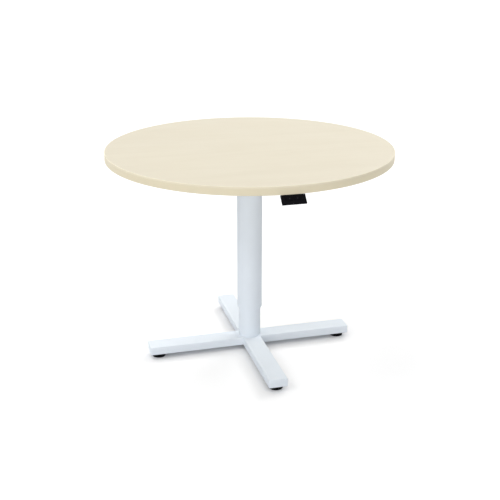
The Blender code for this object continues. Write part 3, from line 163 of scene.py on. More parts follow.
class StudioSettings(bpy.types.PropertyGroup):
    """The photograph's viewpoint and light."""

    camera_place: FloatVectorProperty(
        name="Camera Place",
        description="Where the camera stands",
        default=(-0.7947, -2.9673, 1.505),
        size=3,
        subtype="TRANSLATION",
    )
    camera_pitch: FloatProperty(
        name="Camera Pitch",
        description="How far the camera is tilted up from straight down",
        default=math.radians(69.83),
        unit="ROTATION",
    )
    camera_yaw: FloatProperty(
        name="Camera Yaw",
        description="How far the camera is turned to the left of the table's front",
        default=math.radians(-15.02),
        unit="ROTATION",
    )
    camera_lens: FloatProperty(
        name="Camera Lens",
        description="Focal length for a 36 mm sensor",
        default=65.15,
        unit="CAMERA",
    )
    room_light: FloatProperty(
        name="Room Light",
        description="Strength of the even light from all round",
        default=0.04,
    )
    light_level: FloatProperty(
        name="Light Level",
        description="Strength of all the lamps together",
        default=1.0,
    )
    lamp_softness: FloatProperty(
        name="Lamp Softness",
        description="Width of each lamp, as seen from the table",
        default=math.radians(34),
        unit="ROTATION",
    )
    floor_lift: FloatProperty(
        name="Floor Lift",
        description="How much the white sweep lightens the floor that the camera sees",
        default=0.326,
    )
    contact_reach: FloatProperty(
        name="Contact Reach",
        description="How far from the table the sweep's lightening fades away",
        default=0.065,
        unit="LENGTH",
    )


# Modelling
def activate(piece):
    """Make a piece the only one that operators act on."""
    bpy.ops.object.select_all(action="DESELECT")
    piece.select_set(True)
    bpy.context.view_layer.objects.active = piece


def start(add, name, **options):
    """Add a primitive and name it."""
    bpy.ops.object.select_all(action="DESELECT")
    add(**options)
    piece = bpy.context.object
    piece.name = name
    piece.data.name = name
    return piece


def settle(piece):
    """Put a piece's place into its mesh."""
    activate(piece)
    bpy.ops.object.transform_apply(location=True, rotation=True, scale=True)
    return piece


def block(name, low, high):
    """A box between two corners."""
    low = Vector(low)
    high = Vector(high)
    add = bpy.ops.mesh.primitive_cube_add
    return settle(start(add, name, size=1, location=(low + high) / 2, scale=high - low))


def open_edit(piece, kind="FACE"):
    """Enter edit mode with nothing selected."""
    activate(piece)
    bpy.ops.object.mode_set(mode="EDIT")
    bpy.ops.mesh.select_mode(type=kind)
    bpy.ops.mesh.select_all(action="DESELECT")


def close_edit():
    bpy.ops.object.mode_set(mode="OBJECT")


def choose_edges(piece, test):
    """Select the edges whose two ends pass a test together."""
    shape = bmesh.from_edit_mesh(piece.data)
    for edge in shape.edges:
        edge.select_set(test(edge.verts[0].co, edge.verts[1].co))
    bmesh.update_edit_mesh(piece.data)


def choose_faces(piece, test):
    """Select the faces whose middle and normal pass a test."""
    shape = bmesh.from_edit_mesh(piece.data)
    for face in shape.faces:
        face.select_set(test(face.calc_center_median(), face.normal))
    bmesh.update_edit_mesh(piece.data)


def round_edges(piece, test, radius, segments):
    """Round the edges that pass a test."""
    open_edit(piece, "EDGE")
    choose_edges(piece, test)
    bpy.ops.mesh.bevel(offset=radius, segments=segments, affect="EDGES")
    close_edit()


def ease_all_edges(piece, rounding):
    """Round every sharp edge a little."""
    activate(piece)
    step = piece.modifiers.new("eased edges", "BEVEL")
    step.width = rounding
    step.segments = 2
    step.limit_method = "ANGLE"
    step.angle_limit = math.radians(30)
    bpy.ops.object.modifier_apply(modifier=step.name)


def lathe(name, profile, sides, ends="ring"):
    """A piece turned about Z: a circle extruded and widened along a profile of (radius, height) points.

    Its ends are closed by flat caps, or joined to each other as a ring.
    """
    radius, height = profile[0]
    circle = bpy.ops.mesh.primitive_circle_add
    piece = start(circle, name, vertices=sides, radius=radius, location=(0, 0, 0))
    open_edit(piece, "EDGE")
    bpy.ops.mesh.select_all(action="SELECT")
    bpy.ops.transform.translate(value=(0, 0, height))
    if ends == "caps":
        bpy.ops.mesh.edge_face_add()
        bpy.ops.mesh.select_mode(type="EDGE")
    for next_radius, next_height in profile[1:]:
        rise = {"value": (0, 0, next_height - height)}
        bpy.ops.mesh.extrude_edges_move(TRANSFORM_OT_translate=rise)
        scale = next_radius / radius
        bpy.ops.transform.resize(value=(scale, scale, 1), center_override=(0, 0, 0))
        radius = next_radius
        height = next_height
    if ends == "caps":
        bpy.ops.mesh.edge_face_add()
    else:
        close_ring(piece, profile)
    bpy.ops.mesh.select_all(action="SELECT")
    bpy.ops.mesh.normals_make_consistent(inside=False)
    close_edit()
    return piece


def close_ring(piece, profile):
    """Join the last circle of a turned piece to its first."""
    tolerance = 1e-6
    ends = (profile[0], profile[-1])

    def on_an_end(first, second):
        for radius, height in ends:
            level = abs(first.z - height) < tolerance and abs(second.z - height) < tolerance
            if level and abs(first.xy.length - radius) < tolerance * 10:
                if abs(second.xy.length - radius) < tolerance * 10:
                    return True
        return False

    choose_edges(piece, on_an_end)
    bpy.ops.mesh.bridge_edge_loops()


def place_turned(piece, place, turn=(0, 0, 0)):
    """Stand a piece turned about Z at its place."""
    piece.location = place
    piece.rotation_euler = turn
    return settle(piece)


def join_faces(piece):
    """Weld a piece's points and join its triangles into whole faces."""
    open_edit(piece)
    bpy.ops.mesh.select_all(action="SELECT")
    bpy.ops.mesh.remove_doubles(threshold=MERGE_DISTANCE)
    bpy.ops.mesh.dissolve_limited(angle_limit=FLAT_ANGLE)
    close_edit()


def from_solid(node, name, rounding):
    """A copy of a solid, in whole faces and with its edges eased."""
    mesh = NODES[node].data.copy()
    mesh.name = name
    mesh.materials.clear()
    piece = bpy.data.objects.new(name, mesh)
    bpy.context.scene.collection.objects.link(piece)
    join_faces(piece)
    ease_all_edges(piece, rounding)
    return piece


def combine(piece, other, operation="DIFFERENCE"):
    """Cut one piece out of another, or join it to it."""
    activate(piece)
    step = piece.modifiers.new("combined", "BOOLEAN")
    step.operation = operation
    step.solver = "EXACT"
    step.object = other
    bpy.ops.object.modifier_apply(modifier=step.name)
    bpy.data.objects.remove(other)
    return piece


def dress(piece, body, material, slot, *nodes):
    """Give a finished piece its shading, material and body, and hide the solids that it stands for; the slot
    is not used.
    """
    activate(piece)
    bpy.ops.object.shade_smooth_by_angle(angle=SMOOTH_ANGLE)
    piece.data.materials.clear()
    piece.data.materials.append(material)
    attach(piece, body)
    if nodes:
        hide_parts(*nodes)


def copy_piece(piece, name, place):
    """A second piece of the same shape, moved to its own place."""
    twin = bpy.data.objects.new(name, piece.data.copy())
    twin.data.name = name
    bpy.context.scene.collection.objects.link(twin)
    twin.location = place
    return settle(twin)


def paint(material, *nodes):
    """Give carried-over solids their material."""
    for node in nodes:
        mesh = NODES[node].data
        mesh.materials.clear()
        mesh.materials.append(material)


# Node groups and materials
def shader_group(name, inputs, outputs):
    """An empty shader group with named sockets, and its two end nodes."""
    group = bpy.data.node_groups.new(name, "ShaderNodeTree")
    for label, kind, value in inputs:
        socket = group.interface.new_socket(name=label, in_out="INPUT", socket_type=kind)
        if value is not None:
            socket.default_value = value
    for label, kind in outputs:
        group.interface.new_socket(name=label, in_out="OUTPUT", socket_type=kind)
    return group, group.nodes.new("NodeGroupInput"), group.nodes.new("NodeGroupOutput")


def add_math(tree, operation, first, second):
    """A Math node fed by sockets or numbers."""
    node = tree.nodes.new("ShaderNodeMath")
    node.operation = operation
    for socket, value in zip(node.inputs, (first, second)):
        feed(tree, socket, value)
    return node.outputs[0]


def feed(tree, socket, value):
    """Link a socket to another, or set it."""
    if isinstance(value, bpy.types.NodeSocket):
        tree.links.new(value, socket)
    else:
        socket.default_value = value


def add_noise(tree, vector, scale, detail, roughness=0.5, distortion=0):
    """Noise between 0 and 1."""
    node = tree.nodes.new("ShaderNodeTexNoise")
    feed(tree, node.inputs["Vector"], vector)
    feed(tree, node.inputs["Scale"], scale)
    node.inputs["Detail"].default_value = detail
    node.inputs["Roughness"].default_value = roughness
    node.inputs["Distortion"].default_value = distortion
    return node.outputs["Fac"]


def add_mapping(tree, vector, scale, location=(0, 0, 0)):
    """Stretch a texture's coordinates, and move them."""
    node = tree.nodes.new("ShaderNodeMapping")
    feed(tree, node.inputs["Vector"], vector)
    node.inputs["Scale"].default_value = scale
    node.inputs["Location"].default_value = location
    return node.outputs["Vector"]


def add_range(tree, value, low, high, out_low, out_high):
    """Map one range of values to another, without going past it."""
    node = tree.nodes.new("ShaderNodeMapRange")
    for socket, number in zip(node.inputs, (value, low, high, out_low, out_high)):
        feed(tree, socket, number)
    return node.outputs["Result"]


def add_blend(tree, factor, first, second):
    """Mix two colours."""
    node = tree.nodes.new("ShaderNodeMix")
    node.data_type = "RGBA"
    feed(tree, node.inputs["Factor"], factor)
    feed(tree, node.inputs["A"], first)
    feed(tree, node.inputs["B"], second)
    return node.outputs["Result"]


def grain_group():
    """Maple figure, fine streaks and short flecks, along the X of the vector that it is given."""
    group, given, result = shader_group(
        "maple_grain",
        [("Vector", "NodeSocketVector", None), ("Size", "NodeSocketFloat", 1.0)],
        [("Tone", "NodeSocketFloat"), ("Fleck", "NodeSocketFloat"), ("Height", "NodeSocketFloat")],
    )
    scaled = group.nodes.new("ShaderNodeVectorMath")
    scaled.operation = "SCALE"
    group.links.new(given.outputs["Vector"], scaled.inputs[0])
    group.links.new(given.outputs["Size"], scaled.inputs["Scale"])
    place = scaled.outputs["Vector"]
    figure = add_noise(group, add_mapping(group, place, (1.1, 7.0, 7.0)), 1.6, 4, 0.55, 0.9)
    streaks = add_noise(group, add_mapping(group, place, (6.0, 190.0, 190.0)), 1.0, 4, 0.6, 0.2)
    pores = add_noise(group, add_mapping(group, place, (60.0, 900.0, 900.0)), 1.0, 2, 0.5)
    flecks = add_noise(group, add_mapping(group, place, (40.0, 420.0, 420.0), (3, 1, 2)), 1.0, 1)
    broad = add_math(group, "MULTIPLY", figure, 0.55)
    fine = add_math(group, "MULTIPLY", streaks, 0.35)
    finest = add_math(group, "MULTIPLY", pores, 0.1)
    tone = add_math(group, "ADD", add_math(group, "ADD", broad, fine), finest)
    group.links.new(tone, result.inputs["Tone"])
    group.links.new(add_range(group, flecks, 0.66, 0.74, 0.0, 1.0), result.inputs["Fleck"])
    group.links.new(add_math(group, "ADD", streaks, pores), result.inputs["Height"])
    return group


def breakup_group():
    """Soft uneven patches and fine specks, for roughness, dust and small changes of tone."""
    group, given, result = shader_group(
        "surface_breakup",
        [
            ("Vector", "NodeSocketVector", None),
            ("Patch Size", "NodeSocketFloat", 12.0),
            ("Speck Size", "NodeSocketFloat", 400.0),
        ],
        [("Patches", "NodeSocketFloat"), ("Specks", "NodeSocketFloat")],
    )
    patches = add_noise(group, given.outputs["Vector"], given.outputs["Patch Size"], 4, 0.55)
    specks = add_noise(group, given.outputs["Vector"], given.outputs["Speck Size"], 2, 0.6)
    group.links.new(add_range(group, patches, 0.3, 0.7, 0.0, 1.0), result.inputs["Patches"])
    group.links.new(add_range(group, specks, 0.3, 0.7, 0.0, 1.0), result.inputs["Specks"])
    return group


def skin_group():
    """The height of a stippled or sprayed skin: soft waves with finer grit on them."""
    group, given, result = shader_group(
        "skin_relief",
        [
            ("Vector", "NodeSocketVector", None),
            ("Wave Size", "NodeSocketFloat", 500.0),
            ("Grit Size", "NodeSocketFloat", 2500.0),
            ("Grit", "NodeSocketFloat", 0.3),
        ],
        [("Height", "NodeSocketFloat")],
    )
    waves = add_noise(group, given.outputs["Vector"], given.outputs["Wave Size"], 1, 0.5)
    grit = add_noise(group, given.outputs["Vector"], given.outputs["Grit Size"], 2, 0.6)
    weighed = add_math(group, "MULTIPLY", grit, given.outputs["Grit"])
    group.links.new(add_math(group, "ADD", waves, weighed), result.inputs["Height"])
    return group


GROUPS = {}


def place_group(tree, kind, vector, **values):
    """Put a shared effect into a material, with its own values."""
    makers = {"grain": grain_group, "breakup": breakup_group, "skin": skin_group}
    if kind not in GROUPS:
        GROUPS[kind] = makers[kind]()
    node = tree.nodes.new("ShaderNodeGroup")
    node.node_tree = GROUPS[kind]
    feed(tree, node.inputs["Vector"], vector)
    for label, value in values.items():
        node.inputs[label.replace("_", " ")].default_value = value
    return node


def new_material(name, metallic=0.0):
    """A material with its shader and the object's own coordinates."""
    material = bpy.data.materials.new(name)
    material.use_nodes = True
    tree = material.node_tree
    shader = tree.nodes["Principled BSDF"]
    shader.inputs["Metallic"].default_value = metallic
    coordinates = tree.nodes.new("ShaderNodeTexCoord")
    return material, tree, shader, coordinates


def add_bump(tree, shader, height, distance, strength):
    """Raise a material's surface by a height."""
    bump = tree.nodes.new("ShaderNodeBump")
    bump.inputs["Distance"].default_value = distance
    bump.inputs["Strength"].default_value = strength
    tree.links.new(height, bump.inputs["Height"])
    tree.links.new(bump.outputs["Normal"], shader.inputs["Normal"])


def tint(colour, red, green, blue):
    """A colour with each channel scaled, and its alpha."""
    return (*(min(1, value * amount) for value, amount in zip(colour, (red, green, blue))), 1)


def shade(colour, amount):
    """A colour made lighter or darker, with its alpha."""
    return tint(colour, amount, amount, amount)


def wood(name, colour, vector_from, size, contrast, fleck, gloss):
    """Maple decor: the same print on the laminate and on the edge band."""
    material, tree, shader, coordinates = new_material(name)
    vector = coordinates.outputs[vector_from]
    grain = place_group(tree, "grain", vector, Size=size)
    tone = add_range(tree, grain.outputs["Tone"], 0.36, 0.64, 0.0, 1.0)
    warm = tint(colour, 1 - contrast, 1 - 1.25 * contrast, 1 - 1.7 * contrast)
    base = add_blend(tree, tone, shade(colour, 1 + contrast / 2), warm)
    marks = add_math(tree, "MULTIPLY", grain.outputs["Fleck"], fleck)
    dark = tint(warm, 0.86, 0.80, 0.70)
    tree.links.new(add_blend(tree, marks, base, dark), shader.inputs["Base Color"])
    uneven = place_group(tree, "breakup", coordinates.outputs["Object"], Patch_Size=5.0, Speck_Size=300.0)
    roughness = add_range(tree, uneven.outputs["Patches"], 0.0, 1.0, 0.38, 0.47)
    speckled = add_math(tree, "ADD", roughness, add_math(tree, "MULTIPLY", uneven.outputs["Specks"], 0.03))
    tree.links.new(speckled, shader.inputs["Roughness"])
    shader.inputs["Specular IOR Level"].default_value = gloss
    add_bump(tree, shader, grain.outputs["Height"], 0.00002, 0.6)
    return material


def paint_band_top_highlight(material, top):
    """Paint a highlight into the band's colour: paler towards its upper edge, standing in for the light that
    its rounded upper edge catches.
    """
    fade_start = top - 0.009
    fade_end = top - 0.001
    strength = 0.8
    highlight_gain = 1.28
    tree = material.node_tree
    shader = tree.nodes["Principled BSDF"]
    print_colour = shader.inputs["Base Color"].links[0].from_socket
    coordinates = tree.nodes.new("ShaderNodeTexCoord")
    split = tree.nodes.new("ShaderNodeSeparateXYZ")
    tree.links.new(coordinates.outputs["Object"], split.inputs["Vector"])
    # Painted highlight: the band's colour blends to a paler laminate tone over its top few millimetres
    painted_highlight_mask = add_range(tree, split.outputs["Z"], fade_start, fade_end, 0.0, strength)
    painted_highlight_colour = shade(colours().laminate, highlight_gain)
    tree.links.new(add_blend(tree, painted_highlight_mask, print_colour, painted_highlight_colour), shader.inputs["Base Color"])


def coated(name, colour):
    """White powder coat: a fine orange peel with a soft, even gloss."""
    material, tree, shader, coordinates = new_material(name)
    vector = coordinates.outputs["Object"]
    uneven = place_group(tree, "breakup", vector, Patch_Size=9.0, Speck_Size=700.0)
    grey = add_blend(tree, uneven.outputs["Patches"], shade(colour, 1.0), shade(colour, 0.985))
    specks = add_range(tree, uneven.outputs["Specks"], 0.75, 1.0, 0.0, 0.25)
    tree.links.new(add_blend(tree, specks, grey, shade(colour, 0.93)), shader.inputs["Base Color"])
    roughness = add_range(tree, uneven.outputs["Patches"], 0.0, 1.0, 0.44, 0.54)
    tree.links.new(roughness, shader.inputs["Roughness"])
    shader.inputs["Specular IOR Level"].default_value = 0.2
    skin = place_group(tree, "skin", vector, Wave_Size=620.0, Grit_Size=2600.0, Grit=0.22)
    add_bump(tree, shader, skin.outputs["Height"], 0.00005, 0.5)
    return material


def moulded(name, colour, roughness, relief, stipple, gloss=0.4):
    """Moulded plastic with a spark-eroded stipple and slight polish from handling."""
    material, tree, shader, coordinates = new_material(name)
    vector = coordinates.outputs["Object"]
    uneven = place_group(tree, "breakup", vector, Patch_Size=22.0, Speck_Size=1500.0)
    tone = add_blend(tree, uneven.outputs["Patches"], shade(colour, 0.85), shade(colour, 1.15))
    dusty = add_range(tree, uneven.outputs["Specks"], 0.8, 1.0, 0.0, 0.12)
    dust = tuple(value * 0.9 + 0.01 for value in colour) + (1,)
    tree.links.new(add_blend(tree, dusty, tone, dust), shader.inputs["Base Color"])
    polish = add_range(tree, uneven.outputs["Patches"], 0.0, 1.0, roughness - 0.06, roughness + 0.06)
    tree.links.new(polish, shader.inputs["Roughness"])
    shader.inputs["Specular IOR Level"].default_value = gloss
    skin = place_group(tree, "skin", vector, Wave_Size=stipple, Grit_Size=stipple * 3, Grit=0.5)
    add_bump(tree, shader, skin.outputs["Height"], relief, 0.7)
    return material


def metal(name, colour, roughness, lines, patch=30.0):
    """Bare or plated metal: tool lines across its own axis, with dull and bright patches."""
    material, tree, shader, coordinates = new_material(name, 1.0)
    vector = coordinates.outputs["Object"]
    uneven = place_group(tree, "breakup", vector, Patch_Size=patch, Speck_Size=900.0)
    tone = add_blend(tree, uneven.outputs["Patches"], shade(colour, 0.88), shade(colour, 1.06))
    tree.links.new(tone, shader.inputs["Base Color"])
    drawn = add_noise(tree, add_mapping(tree, vector, lines), 1.0, 3, 0.6)
    wear = add_range(tree, drawn, 0.3, 0.7, roughness - 0.06, roughness + 0.08)
    dull = add_math(tree, "MULTIPLY", uneven.outputs["Patches"], 0.06)
    tree.links.new(add_math(tree, "ADD", wear, dull), shader.inputs["Roughness"])
    add_bump(tree, shader, drawn, 0.00002, 0.6)
    return material


def cast(name, colour):
    """Die-cast metal with a dull, slightly pitted skin."""
    material, tree, shader, coordinates = new_material(name, 1.0)
    vector = coordinates.outputs["Object"]
    uneven = place_group(tree, "breakup", vector, Patch_Size=45.0, Speck_Size=800.0)
    tone = add_blend(tree, uneven.outputs["Patches"], shade(colour, 0.82), shade(colour, 1.05))
    tree.links.new(tone, shader.inputs["Base Color"])
    roughness = add_range(tree, uneven.outputs["Specks"], 0.0, 1.0, 0.46, 0.62)
    tree.links.new(roughness, shader.inputs["Roughness"])
    skin = place_group(tree, "skin", vector, Wave_Size=260.0, Grit_Size=1400.0, Grit=0.6)
    add_bump(tree, shader, skin.outputs["Height"], 0.00012, 0.7)
    return material


def circuit(name):
    """A green circuit board with darker tracks and solder dots."""
    material, tree, shader, coordinates = new_material(name)
    vector = coordinates.outputs["Object"]
    bricks = tree.nodes.new("ShaderNodeTexBrick")
    tree.links.new(vector, bricks.inputs["Vector"])
    bricks.inputs["Color1"].default_value = (0.010, 0.105, 0.045, 1)
    bricks.inputs["Color2"].default_value = (0.014, 0.135, 0.060, 1)
    bricks.inputs["Mortar"].default_value = (0.045, 0.220, 0.100, 1)
    bricks.inputs["Scale"].default_value = 130.0
    bricks.inputs["Mortar Size"].default_value = 0.035
    dots = tree.nodes.new("ShaderNodeTexVoronoi")
    tree.links.new(vector, dots.inputs["Vector"])
    dots.inputs["Scale"].default_value = 260.0
    solder = add_range(tree, dots.outputs["Distance"], 0.16, 0.22, 1.0, 0.0)
    tin = (0.62, 0.63, 0.62, 1)
    tree.links.new(add_blend(tree, solder, bricks.outputs["Color"], tin), shader.inputs["Base Color"])
    tree.links.new(solder, shader.inputs["Metallic"])
    uneven = place_group(tree, "breakup", vector, Patch_Size=60.0, Speck_Size=900.0)
    roughness = add_range(tree, uneven.outputs["Patches"], 0.0, 1.0, 0.28, 0.42)
    tree.links.new(roughness, shader.inputs["Roughness"])
    add_bump(tree, shader, solder, 0.0002, 0.6)
    return material


MATERIALS = {}


def finish_of(name):
    """One of the table's finishes, made when it is first asked for."""
    if name not in MATERIALS:
        MATERIALS[name] = FINISHES[name]()
    return MATERIALS[name]


def pale_maple_laminate():
    decor = {"size": 1.0, "contrast": 0.030, "fleck": 0.10, "gloss": 0.35}
    return wood("pale_maple_laminate", colours().laminate, "Object", **decor)


def maple_edge_band():
    decor = {"size": 1.3, "contrast": 0.045, "fleck": 0.16, "gloss": 0.15}
    material = wood("maple_edge_band", colours().edge, "UV", **decor)
    # The band's upper edge gets a painted highlight
    paint_band_top_highlight(material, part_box("edge_band")[1][2])
    return material


def white_powder_coat():
    return coated("white_powder_coat", colours().coat)


def black_moulding():
    skin = {"roughness": 0.46, "relief": 0.00005, "stipple": 1400.0, "gloss": 0.03}
    return moulded("black_moulding", colours().black, **skin)


def rubbed_black_foot():
    skin = {"roughness": 0.42, "relief": 0.00004, "stipple": 900.0, "gloss": 0.06}
    return moulded("rubbed_black_foot", colours().black, **skin)


def faint_key_mark():
    skin = {"roughness": 0.5, "relief": 0.00002, "stipple": 1800.0, "gloss": 0.1}
    return moulded("faint_key_mark", (0.014, 0.014, 0.016), **skin)


def grey_slide_plastic():
    skin = {"roughness": 0.38, "relief": 0.00002, "stipple": 700.0}
    return moulded("grey_slide_plastic", (0.56, 0.58, 0.60), **skin)


def cream_nut_plastic():
    skin = {"roughness": 0.36, "relief": 0.00002, "stipple": 700.0}
    return moulded("cream_nut_plastic", (0.76, 0.72, 0.60), **skin)


def bare_steel():
    return metal("bare_steel", (0.56, 0.57, 0.58), 0.28, (60.0, 60.0, 2600.0))


def zinc_plate():
    return metal("zinc_plate", (0.66, 0.68, 0.70), 0.34, (900.0, 900.0, 900.0), 70.0)


def motor_steel():
    return metal("motor_steel", (0.60, 0.61, 0.62), 0.30, (2600.0, 40.0, 40.0))


def turned_bronze():
    return metal("turned_bronze", (0.60, 0.40, 0.19), 0.30, (90.0, 90.0, 2200.0))


def die_cast():
    return cast("die_cast", (0.60, 0.61, 0.63))


def green_circuit():
    return circuit("green_circuit")


FINISHES = {
    "laminate": pale_maple_laminate,
    "edge": maple_edge_band,
    "coat": white_powder_coat,
    "black": black_moulding,
    "foot": rubbed_black_foot,
    "mark": faint_key_mark,
    "slide": grey_slide_plastic,
    "nut": cream_nut_plastic,
    "steel": bare_steel,
    "zinc": zinc_plate,
    "motor": motor_steel,
    "bronze": turned_bronze,
    "cast": die_cast,
    "circuit": green_circuit,
}


def sizes():
    return bpy.context.scene.table_sizes


def colours():
    return bpy.context.scene.table_colours


def studio():
    return bpy.context.scene.table_studio


# Pieces
def arc(centre, radius, start_angle, end_angle, steps):
    """Points of (radius, height) on an arc, from one angle to another."""
    points = []
    for step in range(steps + 1):
        angle = math.radians(start_angle + (end_angle - start_angle) * step / steps)
        points.append((centre[0] + radius * math.cos(angle), centre[1] + radius * math.sin(angle)))
    return points


def band_radius():
    return spread("edge_band").x / 2


def band_inner_radius():
    return spread("tabletop").x / 2 + SOLID_GAP


def make_board():
    """The tabletop: a flat disc up to the joint with its band."""
    low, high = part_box("tabletop")
    radius = band_inner_radius() - sizes().board_gap
    flat_rim = 0.02
    add = bpy.ops.mesh.primitive_cylinder_add
    piece = start(
        add,
        "tabletop_board",
        vertices=sizes().round_sides,
        radius=radius,
        depth=high[2] - low[2],
        location=(0, 0, (low[2] + high[2]) / 2),
    )
    settle(piece)
    open_edit(piece)
    choose_faces(piece, lambda place, normal: abs(normal.z) > 0.9)
    bpy.ops.mesh.inset(thickness=flat_rim)
    close_edit()
    dress(piece, "column_top", finish_of("laminate"), "laminate", "tabletop")


def wrap_band(piece, radius):
    """Lay the band's print along its length: one metre of the map is one metre of band."""
    layer = piece.data.uv_layers.new(name="along_band")
    for face in piece.data.polygons:
        corners = [piece.data.vertices[piece.data.loops[loop].vertex_index].co for loop in face.loop_indices]
        turns = [math.atan2(corner.y, corner.x) for corner in corners]
        if max(turns) - min(turns) > math.pi:
            turns = [turn + 2 * math.pi if turn < 0 else turn for turn in turns]
        for loop, corner, turn in zip(face.loop_indices, corners, turns):
            layer.data[loop].uv = (turn * radius, corner.z + corner.xy.length)


def make_band():
    """The edge band, with its two outer edges rounded."""
    low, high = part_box("edge_band")
    outer = band_radius()
    inner = band_inner_radius()
    arris = sizes().band_arris
    steps = 6
    upper = arc((outer - arris, high[2] - arris), arris, 90, 0, steps)
    lower = arc((outer - arris, low[2] + arris), arris, 0, -90, steps)
    profile = [(inner, high[2])] + upper + lower + [(inner, low[2])]
    piece = lathe("edge_band_wrap", profile, sizes().round_sides)
    wrap_band(piece, outer)
    dress(piece, "column_top", finish_of("edge"), "maple_edge", "edge_band")


def make_tube(node, name, body, wall):
    """One of the column's tubes, with its cut ends eased."""
    low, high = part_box(node)
    outer = spread(node).x / 2
    inner = outer - wall
    edge = sizes().tube_edge
    corners = (
        (outer - edge, high[2] - edge, 90),
        (outer - edge, low[2] + edge, 0),
        (inner + edge, low[2] + edge, -90),
        (inner + edge, high[2] - edge, 180),
    )
    steps = 3
    profile = []
    for radius, height, angle in corners:
        profile += arc((radius, height), edge, angle, angle - 90, steps)
    piece = lathe(name, profile, sizes().round_sides // 2)
    dress(piece, body, finish_of("coat"), "white_coat", node)


def make_base():
    """The cross base: a long bar and two short arms, welded and ground into one coated skin."""
    low, high = (Vector(corner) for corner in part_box("base_long_bar"))
    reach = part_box("end_plate_right")[1][0]
    half = high.y
    cross = block("base_cross_skin", (-reach, -half, low.z), (reach, half, high.z))
    short_arms = block("short_arms", (-half, -reach, low.z), (half, reach, high.z))
    combine(cross, short_arms, "UNION")
    join_faces(cross)

    def on_an_end(first, second):
        return any(min(abs(first[axis]), abs(second[axis])) > reach - MERGE_DISTANCE for axis in (0, 1))

    round_edges(cross, lambda first, second: not on_an_end(first, second), sizes().arm_rounding, 5)
    round_edges(cross, on_an_end, sizes().end_rounding, 3)
    plates = [f"end_plate_{side}" for side in SIDES]
    arms = ("base_long_bar", "base_front_arm", "base_back_arm")
    dress(cross, "base", finish_of("coat"), "white_coat", *arms, *plates)


def make_feet():
    """The round levelling feet, turned once and copied."""
    low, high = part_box("glide_pad_front")
    radius = (high[0] - low[0]) / 2
    height = high[2] - low[2]
    neck = radius * 0.62
    crown = 0.003
    shoulder = crown * 0.6
    groove = radius - 0.0004
    sole = 0.0009
    sides = 72
    profile = (
        [(neck, height), (radius - crown, height - crown * 0.35)]
        + arc((radius - shoulder, height - crown * 0.95), shoulder, 90, 0, 4)
        + [(radius, height * 0.3), (groove, height * 0.28), (groove, height * 0.24)]
        + [(radius, height * 0.22)]
        + arc((radius - sole, sole), sole, 0, -90, 3)
    )
    first = lathe("foot_pattern", profile, sides, "caps")
    for side in SIDES:
        place = middle(f"glide_pad_{side}")
        piece = copy_piece(first, f"foot_{side}", (place.x, place.y, 0))
        dress(piece, f"glide_{side}", finish_of("foot"), "black_plastic", f"glide_pad_{side}")
    bpy.data.objects.remove(first)


def make_foot_bolts():
    """Hexagon heads with their washers, which bed into the coat under the base."""
    outer = 0.0085
    inner = 0.0045
    chamfered = 0.0074
    bed = 0.0001
    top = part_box("base_long_bar")[0][2] + bed
    rim = top - 0.0012
    bottom = top - 0.0016
    sides = 40
    profile = [(outer, top), (outer, rim), (chamfered, bottom), (inner, bottom), (inner, top)]
    for quarter in QUARTERS:
        place = middle(f"foot_bolt_{quarter}")
        head = from_solid(f"foot_bolt_{quarter}", f"base_bolt_{quarter}", rounding=0.0004)
        dress(head, "base", finish_of("zinc"), "zinc_steel", f"foot_bolt_{quarter}")
        washer = lathe(f"bolt_washer_{quarter}", profile, sides)
        place_turned(washer, (place.x, place.y, 0))
        dress(washer, "base", finish_of("zinc"), "zinc_steel")


# The outline of a pan head, as shares of its radius and of its height
PAN_HEAD = ((1, 0), (1, 0.35), (0.86, 0.72), (0.6, 0.94), (0.3, 1))


def make_screw_pattern(name, radius, height, socket):
    """A pan-head screw seen from below, with a six-sided socket."""
    profile = [(radius * across, -height * down) for across, down in PAN_HEAD]
    sides = 28
    piece = lathe(name, profile, sides, "caps")
    add = bpy.ops.mesh.primitive_cylinder_add
    tip = (0, 0, -height)
    hexagon = start(add, f"{name}_socket", vertices=6, radius=socket, depth=height, location=tip)
    settle(hexagon)
    return combine(piece, hexagon)


def spread_screws(name, places, radius, height, socket):
    """Copies of one screw, with their heads up against a face."""
    first = make_screw_pattern(f"{name}_pattern", radius, height, socket)
    for number, place in enumerate(places, 1):
        piece = copy_piece(first, f"{name}_{number}", place)
        dress(piece, "column_top", finish_of("zinc"), "zinc_steel")
    bpy.data.objects.remove(first)


def make_rails():
    """The folded rails under the top, the plate at their middle and the screws into the board."""
    for node in ("frame_long_bar", "frame_front_arm", "frame_back_arm"):
        piece = from_solid(node, f"{node}_rail", rounding=0.0005)
        dress(piece, "column_top", finish_of("coat"), "white_coat", node)
    plate = from_solid("head_plate", "head_plate_cut", rounding=0.0005)
    dress(plate, "column_top", finish_of("coat"), "white_coat", "head_plate")
    sheet = 0.0025
    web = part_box("frame_long_bar")[1][2] - sheet
    reaches = (0.125, 0.300)
    places = [(sign * reach, 0, web) for reach in reaches for sign in (-1, 1)]
    places += [(0, sign * reach, web) for reach in reaches for sign in (-1, 1)]
    spread_screws("rail_screw", places, radius=0.0048, height=0.0026, socket=0.0018)


def make_drive():
    """The gear housing with its flange screws, its cover and the motor."""
    housing = from_solid("gear_housing", "gear_housing_casting", rounding=0.0006)
    dress(housing, "column_top", finish_of("cast"), "cast_aluminium", "gear_housing")
    flange = 0.008
    flange_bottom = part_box("gear_housing")[1][2] - flange
    offset = 0.042
    places = [(x, y, flange_bottom) for x in (-offset, offset) for y in (-offset, offset)]
    spread_screws("flange_screw", places, radius=0.005, height=0.0055, socket=0.0026)
    make_motor()
    paint(finish_of("cast"), "gear_cover")


